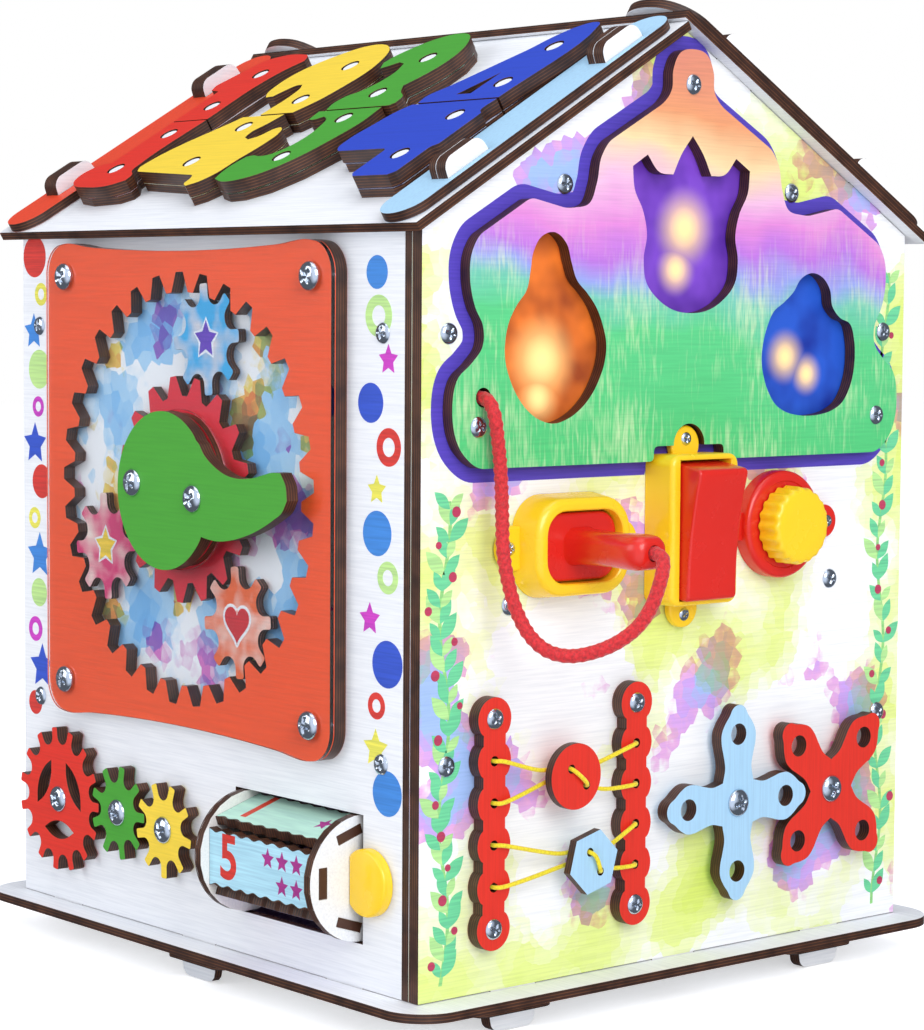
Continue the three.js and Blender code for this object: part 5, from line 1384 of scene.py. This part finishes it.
class BUSY_OT_fasteners(Operation, bpy.types.Operator):
    """Set the screws and bolts of the walls, panels and mouldings"""
    bl_idname = "busy.fasteners"
    bl_label = "Fasteners"

    def execute(self, context):
        screw = (sizes().screw_radius, sizes().screw_dome)
        domed = (sizes().bolt_radius, sizes().bolt_dome)
        ring_x, ring_y = GEAR_SIDE.middle("ring_panel")
        spots = [(side * 130.4 - 5, y) for side in (-1, 1) for y in (272.8, 95.65)]
        screws("wall_screws", GEAR_SIDE, spots, 0, *screw)
        pairs = [(130.8, 272.9), (130.8, 96.5), (68.3, 334.8), (97.1, 160.6)]
        spots = [(side * x, y) for x, y in pairs for side in (-1, 1)]
        screws("facade_screws", SWITCH_SIDE, spots, 0, *screw)
        corners = [(ring_x + x, ring_y + y) for x in (-RING_BOLT, RING_BOLT) for y in (-RING_BOLT, RING_BOLT)]
        screws("ring_panel_bolts", GEAR_SIDE, corners, COVER_TOP, *domed)
        tilt = math.atan2(-0.1, 1)
        handle = [(ring_x + arm * math.cos(tilt), ring_y + arm * math.sin(tilt))
                  for arm in (-HANDLE_BOLT, HANDLE_BOLT)]
        screws("handle_bolts", GEAR_SIDE, handle, HANDLE_TOP, *domed, "sun")
        corners = [(0, 379), (-120, 235), (120, 235)]
        screws("light_panel_screws", SWITCH_SIDE, corners, SHEET_TOP, *screw)
        ends = [(x, y) for x in (STRIP_LEFT, STRIP_RIGHT) for y in (LACE_LOW, LACE_LOW + 5 * LACE_PITCH)]
        screws("lacing_screws", SWITCH_SIDE, ends, SHEET_TOP, *screw)
        return {"FINISHED"}


# Light panel

class BUSY_OT_light_panel(Operation, bpy.types.Operator):
    """Cut the light panel, print the band round it and light its windows"""
    bl_idname = "busy.light_panel"
    bl_label = "Light panel"

    def execute(self, context):
        birch = laser_birch("printed birch, light panel", SWITCH_SIDE, SHEET_TOP, paint_of("white"), "y",
                            0.4, face=sky_and_grass)
        recut("light_panel", SWITCH_SIDE, birch, "house", "lamp_ply", sharp=50, corner=2.6)
        dress("light_sheet", lit_pictures())
        dress("led_board", moulded_abs("solder-masked board", linear("#1F6B45")))
        dress("battery_box", moulded_abs("moulded ABS, battery box", linear("#3A3D42")))
        self.band()
        return {"FINISHED"}

    def band(self):
        """The violet band printed on the facade, wider than the panel all round."""
        outer = refined(cap_loops("light_panel", SWITCH_SIDE)[0], 50)
        band = grown(outer, sizes().band_width)
        inner = grown(outer, -3)
        rims = [(band, 0.0), (band, PRINT_LIFT), (inner, PRINT_LIFT), (inner, 0.0)]
        vertices = [SWITCH_SIDE.at(x, y, off) for outline, off in rims for x, y in outline]
        faces = ring_faces(len(band), len(rims), closed_low=False, closed_high=False)
        mesh_piece("violet_band", vertices, faces, printed_ink("violet ink", paint_of("violet")), "house",
                   slot="white_ply")


# Plug set, switch and dial

EAR = 4  # thickness of a moulding's screw ears
EAR_TOP = 4.2


def ears(places, radius, thickness):
    """Screw ears beside a moulding, as sheets."""
    return [([circle(x, y, radius, 40)], SEAM, SEAM + thickness) for x, y in places]


class BUSY_OT_plug_set(Operation, bpy.types.Operator):
    """Mould the socket and the plug"""
    bl_idname = "busy.plug_set"
    bl_label = "Plug and socket"

    def execute(self, context):
        x, y = SWITCH_SIDE.middle("socket")
        here = SWITCH_SIDE.turned(x, y)
        yellow = moulded_abs("moulded ABS, yellow", paint_of("plastic_yellow"))
        red = moulded_abs("moulded ABS, red", paint_of("plastic_red"))
        width, height = 57.6, 43.5
        front_width, front_height = 52.0, 40.0
        depth = 14.5
        sections = []
        for inset, off in filleted(SEAM, depth, 2.6):
            share = (off - SEAM) / (depth - SEAM)
            w = width + (front_width - width) * share ** 1.6 - 2 * inset
            h = height + (front_height - height) * share ** 1.6 - 2 * inset
            sections.append((rounded_box(w, h, 15 - inset), off))
        for grow, off in ((1.6, depth), (0.5, depth - 0.4), (0.0, depth - 1.5), (0.0, 6.0)):
            sections.append((rounded_box(42 + grow, 30 + grow, 10 + grow / 2), off))
        loft_piece("socket_moulded", here, sections, yellow, "house", slot="yellow_plastic",
                   replaces=["socket"])
        soften(sheets_piece("socket_ears", here, ears([(-30, 0), (30, 0)], 9.5, EAR), yellow, "house",
                            slot="yellow_plastic"), 1.2, 3)
        screws("socket_screws", here, [(-33.5, 0), (33.5, 0)], EAR_TOP, 2.9, 0.9)
        self.plug(here, red)
        return {"FINISHED"}

    def plug(self, here, red):
        """A flange that fills the recess and a round-ended grip with the rope's hole in its tip."""
        low, high = 6.3, 55.0
        width, height, corner = 40.4, 28.4, 9.2
        flange = []
        for inset, off in filleted(low, 11.3, 1.2):
            flange.append((rounded_box(width - 2 * inset, height - 2 * inset, corner - inset), off))
        loft_piece("plug_flange", here, flange, red, "plug", slot="red_plastic", replaces=["plug"])
        length = high - low
        # Share of the grip's length, and share of its width there
        grip = [(0.08, 1.14), (0.12, 1.04), (0.18, 1.0), (0.4, 0.93), (0.6, 0.93), (0.72, 0.97),
                (0.86, 0.98), (0.93, 0.93), (0.97, 0.82), (0.99, 0.68), (1.0, 0.56)]
        sections = []
        for at, share in grip:
            box = rounded_box(18.6 * share, 15.0 * share, 6.2 * share, 8)
            sections.append((box, low + at * length))
        for share, off in ((0.46, high), (0.42, high - 0.6), (0.42, high - 9)):
            sections.append((rounded_box(15.0 * share, 15.0 * share, 7.4 * share, 8), off))
        loft_piece("plug_grip", here, sections, red, "plug", slot="red_plastic")


SWITCH_MIDDLE = 188.5
ROCKER_PIVOT = 9.0
ROCKER_LENGTH = 57.5
ROCKER_WIDTH = 29.2
ROCKER_END = 16.0  # height of its face over the pivot, at its ends
ROCKER_HOLLOW = 1.8
ROCKER_TILT = math.radians(7)


class BUSY_OT_switches(Operation, bpy.types.Operator):
    """Mould the rocker switch and the dial"""
    bl_idname = "busy.switches"
    bl_label = "Switch and dial"

    def execute(self, context):
        yellow = moulded_abs("moulded ABS, switch yellow", paint_of("plastic_yellow"))
        red = moulded_abs("moulded ABS, switch red", paint_of("plastic_red"))
        self.switch(yellow, red)
        self.dial(yellow, red)
        return {"FINISHED"}

    def switch(self, yellow, red):
        well_x, _ = SWITCH_SIDE.middle("switch_housing")
        here = SWITCH_SIDE.turned(well_x, SWITCH_MIDDLE)
        sections = []
        for inset, off in filleted(SEAM, 17, 2.2):
            sections.append((rounded_box(40.6 - 2 * inset, 65 - 2 * inset, 5 - inset), off))
        for grow, off in ((1.2, 17), (0.4, 16.7), (0.0, 16.0), (0.0, 2.4)):
            sections.append((rounded_box(30.2 + grow, 60.6 + grow, 1.0 + grow / 2), off))
        loft_piece("switch_moulded", here, sections, yellow, "house", slot="yellow_plastic",
                   replaces=["switch_housing"])
        soften(sheets_piece("switch_lugs", here, ears([(0, 36), (0, -35)], 8.5, EAR), yellow, "house",
                            slot="yellow_plastic"), 1.2, 3)
        screws("switch_screws", here, [(0, 38.6), (0, -37.6)], EAR_TOP, 2.9, 0.9)
        self.rocker(red)

    def rocker(self, red):
        """The rocker's bar: a tilted, slightly hollow face between rounded ends."""
        x, _ = SWITCH_SIDE.middle("rocker")
        pivot = SWITCH_SIDE.at(x, SWITCH_MIDDLE, ROCKER_PIVOT)
        bar = Wall(pivot, SWITCH_SIDE.up, SWITCH_SIDE.out)
        half, end, corner = ROCKER_LENGTH / 2, ROCKER_END, 2.4
        face = []
        for step in range(13):
            share = 2 * step / 12 - 1
            face.append((share * (half - corner), end - ROCKER_HOLLOW * (1 - share ** 2)))
        arc = [(half - corner + corner * math.cos(a), end - corner + corner * math.sin(a))
               for a in (math.pi / 10 * step for step in range(5))]
        far_arc = [(-x, y) for x, y in arc[::-1]]
        outline = [(-half - 0.5, -2.0), (half + 0.5, -2.0), *arc, *face[::-1], *far_arc]
        sections = []
        for inset, across in filleted(0, ROCKER_WIDTH / 2, 1.2):
            sections.append((turned(grown(outline, -inset), ROCKER_TILT), across))
        other_half = [(outline, -across) for outline, across in reversed(sections)]
        loft_piece("rocker_moulded", bar, other_half[:-1] + sections[1:], red, "rocker", slot="red_plastic",
                   replaces=["rocker"])

    def dial(self, yellow, red):
        x, y = SWITCH_SIDE.middle("dial_base")
        here = SWITCH_SIDE.turned(x, y)
        face, rim = 8.0, 24.0
        profile = [(rim - inset, off) for inset, off in filleted(SEAM, face, 2.4)]
        profile += [(19.6, face), (19.2, face - 0.5), (4.5, face - 0.5), (4.3, 3.2), (0.02, 3.2)]
        turned_piece("dial_base_moulded", here, profile, red, "house", 96, slot="red_plastic",
                     replaces=["dial_base"])
        lugs = ears([(-30, 0), (30, 0)], 7.5, EAR) + [([rounded_box(56, 13, 1, 2)], SEAM, SEAM + 3.8)]
        soften(sheets_piece("dial_lugs", here, lugs, red, "house", slot="red_plastic"), 1.0, 3)
        screws("dial_screws", here, [(-31.5, 0), (31.5, 0)], EAR_TOP, 2.7, 0.9)
        low, high = face + SEAM, 19.3
        # Radius, depth of the ribs and how far below the knob's face
        knob = [(17.5, 1.1, high - low), (17.3, 1.0, 3.2), (17.0, 0.8, 1.9), (16.5, 0.6, 1.0),
                (15.7, 0.3, 0.4), (14.4, 0, 0.1), (9.0, 0, 0), (0.05, 0, 0)]
        sections = [(ribbed(radius, depth), high - below) for radius, depth, below in knob]
        loft_piece("dial_knob_moulded", here, sections, yellow, "dial", slot="yellow_plastic",
                   replaces=["dial_knob"])


KNOB_RIBS = 20


def ribbed(radius, depth, count=8 * KNOB_RIBS):
    """The dial knob's outline, with ribs round it."""
    outline = []
    for i in range(count):
        angle = 2 * math.pi * i / count
        reach = radius - depth * (0.5 - 0.5 * math.cos(KNOB_RIBS * angle))
        outline.append((reach * math.cos(angle), reach * math.sin(angle)))
    return outline


# Lacing

STRIP_LEFT = -110.0
STRIP_RIGHT = -29.5
LACE_LOW = 27.5
LACE_PITCH = 17.5
INNER_FACE = -10.3  # behind the gable, where the elastics end
# Each button's body, its two holes, and which steps of the strips its elastic goes to
BUTTONS = {
    "upper": ("round_button", (-73.2, 91.4), (-64.6, 83.8), 4, 3),
    "lower": ("hexagon_button", (-62.2, 55.0), (-56.2, 46.2), 2, 1),
}


class BUSY_OT_lacing(Operation, bpy.types.Operator):
    """Cut the strips and buttons and lace the elastics through them"""
    bl_idname = "busy.lacing"
    bl_label = "Lacing"

    def execute(self, context):
        for node in ("lacing_strip_left", "lacing_strip_right"):
            birch = laser_birch("painted birch, " + node, SWITCH_SIDE, SHEET_TOP, paint_of("red"), "z")
            recut(node, SWITCH_SIDE, birch, "house", "red_ply", sharp=66)
        for form, paint in {"round": "red", "hexagon": "sky"}.items():
            birch = laser_birch(f"painted birch, {form} button", SWITCH_SIDE, BUTTON_TOP, paint_of(paint),
                                "z")
            recut("button_" + form, SWITCH_SIDE, birch, form + "_button", paint + "_ply", sharp=50)
        for name, (body, first, second, high_lobe, low_lobe) in BUTTONS.items():
            self.elastic(name, body, first, second, LACE_LOW + high_lobe * LACE_PITCH,
                         LACE_LOW + low_lobe * LACE_PITCH)
        return {"FINISHED"}

    def elastic(self, name, body, first, second, high, low):
        """Two strands to each strip and one short strand over the button's face."""
        rubber = dipped_cord("elastic cord, " + name, paint_of("elastic"), "#D8C010", 0.9)
        behind, button = 6.4, 9
        mid_x, mid_y = (first[0] + second[0]) / 2, (first[1] + second[1]) / 2
        x1, y1, x2, y2 = *first, *second

        def anchored(x, y, side):
            """Out of a strip's hole and over its edge, towards the buttons."""
            return [(x, y, INNER_FACE), (x, y, 0), (x + 0.3 * side, y, SHEET_TOP),
                    (x + 2.5 * side, y, SHEET_TOP + 1.7)]

        left = [
            anchored(STRIP_LEFT, high, 1) + [(x1 - 12, y1, behind + 0.6), (x1 - 2.4, y1, behind + 0.2),
                                             (x1, y1, button)],
            anchored(STRIP_LEFT, low, 1) + [(mid_x - 8, mid_y - 1, behind - 1.4),
                                            (mid_x, mid_y, behind - 2.2)],
        ]
        right = [
            anchored(STRIP_RIGHT, low, -1) + [(x2 + 14, low, behind + 1), (x2 + 2.4, y2, behind + 0.2),
                                              (x2, y2, button)],
            anchored(STRIP_RIGHT, high, -1) + [(mid_x + 8, mid_y + 1, behind - 1.4),
                                               (mid_x, mid_y, behind - 2.2)],
        ]
        over = [[(x1, y1, button), (x1, y1, BUTTON_TOP), (x1 + 1.6, y1 - 1.5, BUTTON_TOP + 1.6),
                 (x2 - 1.6, y2 + 1.5, BUTTON_TOP + 1.6), (x2, y2, BUTTON_TOP), (x2, y2, button)]]
        strands = {"left": (left, STRIP_LEFT + 6, x1 - 8), "right": (right, STRIP_RIGHT - 6, x2 + 8)}
        node = "elastic_" + name
        for side, (routes, start, end) in strands.items():
            piece = self.strand_piece(f"{node}_{side}", routes, rubber, "house")
            if side == "left":
                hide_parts(node)
            freed(piece)
            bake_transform(piece)
        self.strand_piece(f"{node}_front", over, rubber, body)

    def strand_piece(self, name, routes, rubber, body):
        vertices, faces = [], []
        radius = sizes().elastic_radius
        for route in routes:
            path, _ = even_path(smooth_path([SWITCH_SIDE.at(*point) for point in route]), 0.8 * MM)

            def woven(run, angle):
                """A fine cover woven round the rubber."""
                ripple = math.cos(5 * angle + 2600 * run) * math.cos(5 * angle - 2600 * run)
                return (radius - 0.05 + 0.05 * ripple) * MM
            more, more_faces = tube_mesh(path, woven, 14)
            faces += [tuple(index + len(vertices) for index in face) for face in more_faces]
            vertices += more
        return mesh_piece(name, vertices, faces, rubber, body, slot="elastic_fibre", sharp=70)


# Spinners

class BUSY_OT_spinners(Operation, bpy.types.Operator):
    """Cut and paint the two meshed spinners and put their bolts in"""
    bl_idname = "busy.spinners"
    bl_label = "Spinners"

    def execute(self, context):
        for name, paint in {"blue": "sky", "red": "red"}.items():
            birch = laser_birch(f"painted birch, {name} spinner", SWITCH_SIDE, SPINNER_TOP, paint_of(paint),
                                "z")
            recut("spinner_" + name, SWITCH_SIDE, birch, name + "_spinner", paint + "_ply", sharp=60)
            bolt(f"spinner_{name}_bolt", SWITCH_SIDE)
        return {"FINISHED"}


# Prints on the boards

class BUSY_OT_prints(Operation, bpy.types.Operator):
    """Print the vine beside the gable's edges and the spots beside the ring panel"""
    bl_idname = "busy.prints"
    bl_label = "Prints"

    def execute(self, context):
        self.vines()
        self.spots()
        return {"FINISHED"}

    def vines(self):
        """A climbing stem with leaves to both sides and berries between them."""
        stems, leaves, pale_leaves, berries = [], [], [], []
        for side in (-1, 1):
            top = 205 if side < 0 else 300
            steps = 60
            middle = []
            for k in range(steps + 1):
                y = 6 + (top - 6) * k / steps
                middle.append((side * (132 - 2.6 * math.sin(y / 13 + side)), y))
            edge = [(x - 0.9, y) for x, y in middle] + [(x + 0.9, y) for x, y in reversed(middle)]
            stems.append(([edge[::-1]], 0.0, PRINT_LIFT))
            for k, (x, y) in enumerate(middle[1:-1:2]):
                for hand in (-1, 1):
                    size = 11.5 + 2.6 * math.sin(2.1 * k + hand)
                    lean = math.pi / 2 - hand * (0.62 + 0.22 * math.sin(3.3 * k))
                    shape = moved(turned(leaf(size, size * 0.46), lean), x, y)
                    target = leaves if (k + hand) % 3 else pale_leaves
                    target.append(([shape], 0.0, PRINT_LIFT * (1 + 0.04 * k + 0.02 * hand)))
                if k % 2 == 0:
                    spot = (x + 6.4 * math.sin(1.7 * k + side), y + 5.5)
                    berries.append(([circle(*spot, 1.9 + 0.4 * math.sin(5 * k), 20)], 0.0, PRINT_LIFT * 3))
        prints = {"vine_stems": (stems, "#9CE088"), "vine_leaves": (leaves, "#72DCA0"),
                  "vine_pale_leaves": (pale_leaves, "#BDF09A"), "vine_berries": (berries, "#C63C60")}
        for name, (parts, ink) in prints.items():
            sheets_piece(name, SWITCH_SIDE, parts, printed_ink("ink, " + name, linear(ink)), "house",
                         slot="white_ply")

    def spots(self):
        """Plain discs, rings and stars in a loose column, left and right of the ring panel."""
        inks = ["#E2362C", "#F4EC5A", "#3C8CE0", "#C6EE94", "#D63CC8", "#2E56D0"]
        spots = {ink: [] for ink in inks}
        columns = {-1: (-137.5, 3.4, 92), 1: (124, 6.5, 84)}
        for side, (middle, sway, bottom) in columns.items():
            for k in range(13):
                size = 7.6 + 2.2 * math.sin(2.3 * k + side)
                x = middle + sway * math.sin(2.5 * k + side)
                y = bottom + 17.8 * k
                disc, ring = circle(x, y, size, 40), circle(x, y, size * 0.9, 40)
                loops = [(disc, moved(star(size * 1.15, 5, 0.5), x, y), ring)[k % 3]]
                if k % 3 == 2:
                    loops.append(circle(x, y, size * 0.45, 32)[::-1])
                spots[inks[(k * 5 + side + 1) % 6]].append((loops, 0.0, PRINT_LIFT * 2))
        for k, (ink, parts) in enumerate(spots.items()):
            sheets_piece(f"wall_spots_{k}", GEAR_SIDE, parts, printed_ink(f"spot ink {k}", linear(ink)),
                         "house", slot="white_ply")


# Stage

FLOOR_GAP = 0.0002  # metres under the feet


class BUSY_OT_stage(Operation, bpy.types.Operator):
    """Lay the pale floor and set soft studio light"""
    bl_idname = "busy.stage"
    bl_label = "Stage"

    def execute(self, context):
        scene = context.scene
        scene.view_settings.view_transform = "Standard"
        floor_mesh = bpy.data.meshes.new("floor")
        reach = 6.0
        corners = [(x * reach, y * reach, 0) for x, y in ((-1, -1), (1, -1), (1, 1), (-1, 1))]
        floor_mesh.from_pydata(corners, [], [(0, 1, 2, 3)])
        floor = bpy.data.objects.new("floor", floor_mesh)
        scene.collection.objects.link(floor)
        floor.location.z = CAD_BOX[0][2] - FLOOR_GAP
        floor_mesh.materials.append(self.floor_material())
        floor.visible_glossy = False
        floor.visible_transmission = False
        self.world(scene)
        # Place and width in metres, power in watts
        lamps = [("key", (1.9, -0.7, 1.2), 1.3, 26), ("left", (-0.9, -1.9, 0.9), 1.3, 12),
                 ("top", (0.1, -0.1, 2.1), 1.6, 11)]
        for name, place, width, power in lamps:
            data = bpy.data.lights.new(name, "AREA")
            data.size = width
            data.energy = power
            lamp = bpy.data.objects.new(name, data)
            scene.collection.objects.link(lamp)
            lamp.location = place
            aim = Vector((0, 0, 0.2)) - Vector(place)
            lamp.rotation_euler = aim.to_track_quat("-Z", "Y").to_euler()
        return {"FINISHED"}

    def floor_material(self):
        """Matt white card that keeps the object's shadow."""
        material, tree, shader = new_material("white card", 0.9, base_color=linear("#F4F4F4"),
                                              specular_ior_level=0.1)
        path = add(tree, "LightPath")
        seen = add(tree, "Emission", {"Color": (1, 1, 1, 1), "Strength": 0.5})
        both = add(tree, "AddShader", {0: shader.outputs[0], 1: seen.outputs[0]})
        resurface(tree, path.outputs["Is Camera Ray"], shader, both)
        return material

    def world(self, scene):
        world = bpy.data.worlds.new("studio")
        scene.world = world
        world.use_nodes = True
        tree = world.node_tree
        tree.nodes.clear()
        path = add(tree, "LightPath")
        plain = add(tree, "Background", {"Color": (1, 1, 1, 1), "Strength": 1.0})
        soft = add(tree, "Background", {"Color": linear("#F4F6FF"), "Strength": 0.62})
        # Steel and acrylic show this backdrop too, white round the camera and dim to the sides
        place = add(tree, "TexCoord")
        towards = vectors(tree, "DOT_PRODUCT", place.outputs["Generated"], (0.72, -0.62, 0.32))
        bright = ranged(tree, towards, 0.3, 0.75, 0.16, 1.1)
        room = add(tree, "Background", {"Color": linear("#EEF3FF"), "Strength": bright})
        sharp = maths(tree, "MAXIMUM", path.outputs["Is Glossy Ray"], path.outputs["Is Transmission Ray"])
        first = maths(tree, "LESS_THAN", path.outputs["Diffuse Depth"], 0.5)
        reflected = maths(tree, "MULTIPLY", sharp, first)
        seen = add(tree, "MixShader", {0: path.outputs["Is Camera Ray"], 1: soft.outputs[0],
                                       2: plain.outputs[0]})
        mixed = add(tree, "MixShader", {0: reflected, 1: seen.outputs[0], 2: room.outputs[0]})
        add(tree, "OutputWorld", {"Surface": mixed.outputs[0]})


class BUSY_PT_panel(bpy.types.Panel):
    """Lists the steps that dress the busy house"""
    bl_idname = "BUSY_PT_panel"
    bl_label = "Busy house"
    bl_space_type = "VIEW_3D"
    bl_region_type = "UI"
    bl_category = "Busy house"

    def draw(self, context):
        for operator in STEPS:
            self.layout.operator(operator.bl_idname)


STEPS = (BUSY_OT_camera, BUSY_OT_rope, BUSY_OT_house, BUSY_OT_digits, BUSY_OT_ring_game,
         BUSY_OT_small_gears, BUSY_OT_drum, BUSY_OT_fasteners, BUSY_OT_light_panel, BUSY_OT_plug_set,
         BUSY_OT_switches, BUSY_OT_lacing, BUSY_OT_spinners, BUSY_OT_prints, BUSY_OT_stage)
CLASSES = (PaintColours, HouseSizes, *STEPS, BUSY_PT_panel)


def register():
    for cls in CLASSES:
        bpy.utils.register_class(cls)
    bpy.types.Scene.busy_paints = PointerProperty(type=PaintColours)
    bpy.types.Scene.busy_sizes = PointerProperty(type=HouseSizes)


def unregister():
    del bpy.types.Scene.busy_sizes
    del bpy.types.Scene.busy_paints
    for cls in reversed(CLASSES):
        bpy.utils.unregister_class(cls)


def main():
    register()
    bpy.ops.busy.camera()
    bpy.ops.busy.rope()
    bpy.ops.busy.house()
    bpy.ops.busy.digits()
    bpy.ops.busy.ring_game()
    bpy.ops.busy.small_gears()
    bpy.ops.busy.drum()
    bpy.ops.busy.fasteners()
    bpy.ops.busy.light_panel()
    bpy.ops.busy.plug_set()
    bpy.ops.busy.switches()
    bpy.ops.busy.lacing()
    bpy.ops.busy.spinners()
    bpy.ops.busy.prints()
    bpy.ops.busy.stage()


if __name__ == "__main__":
    main()
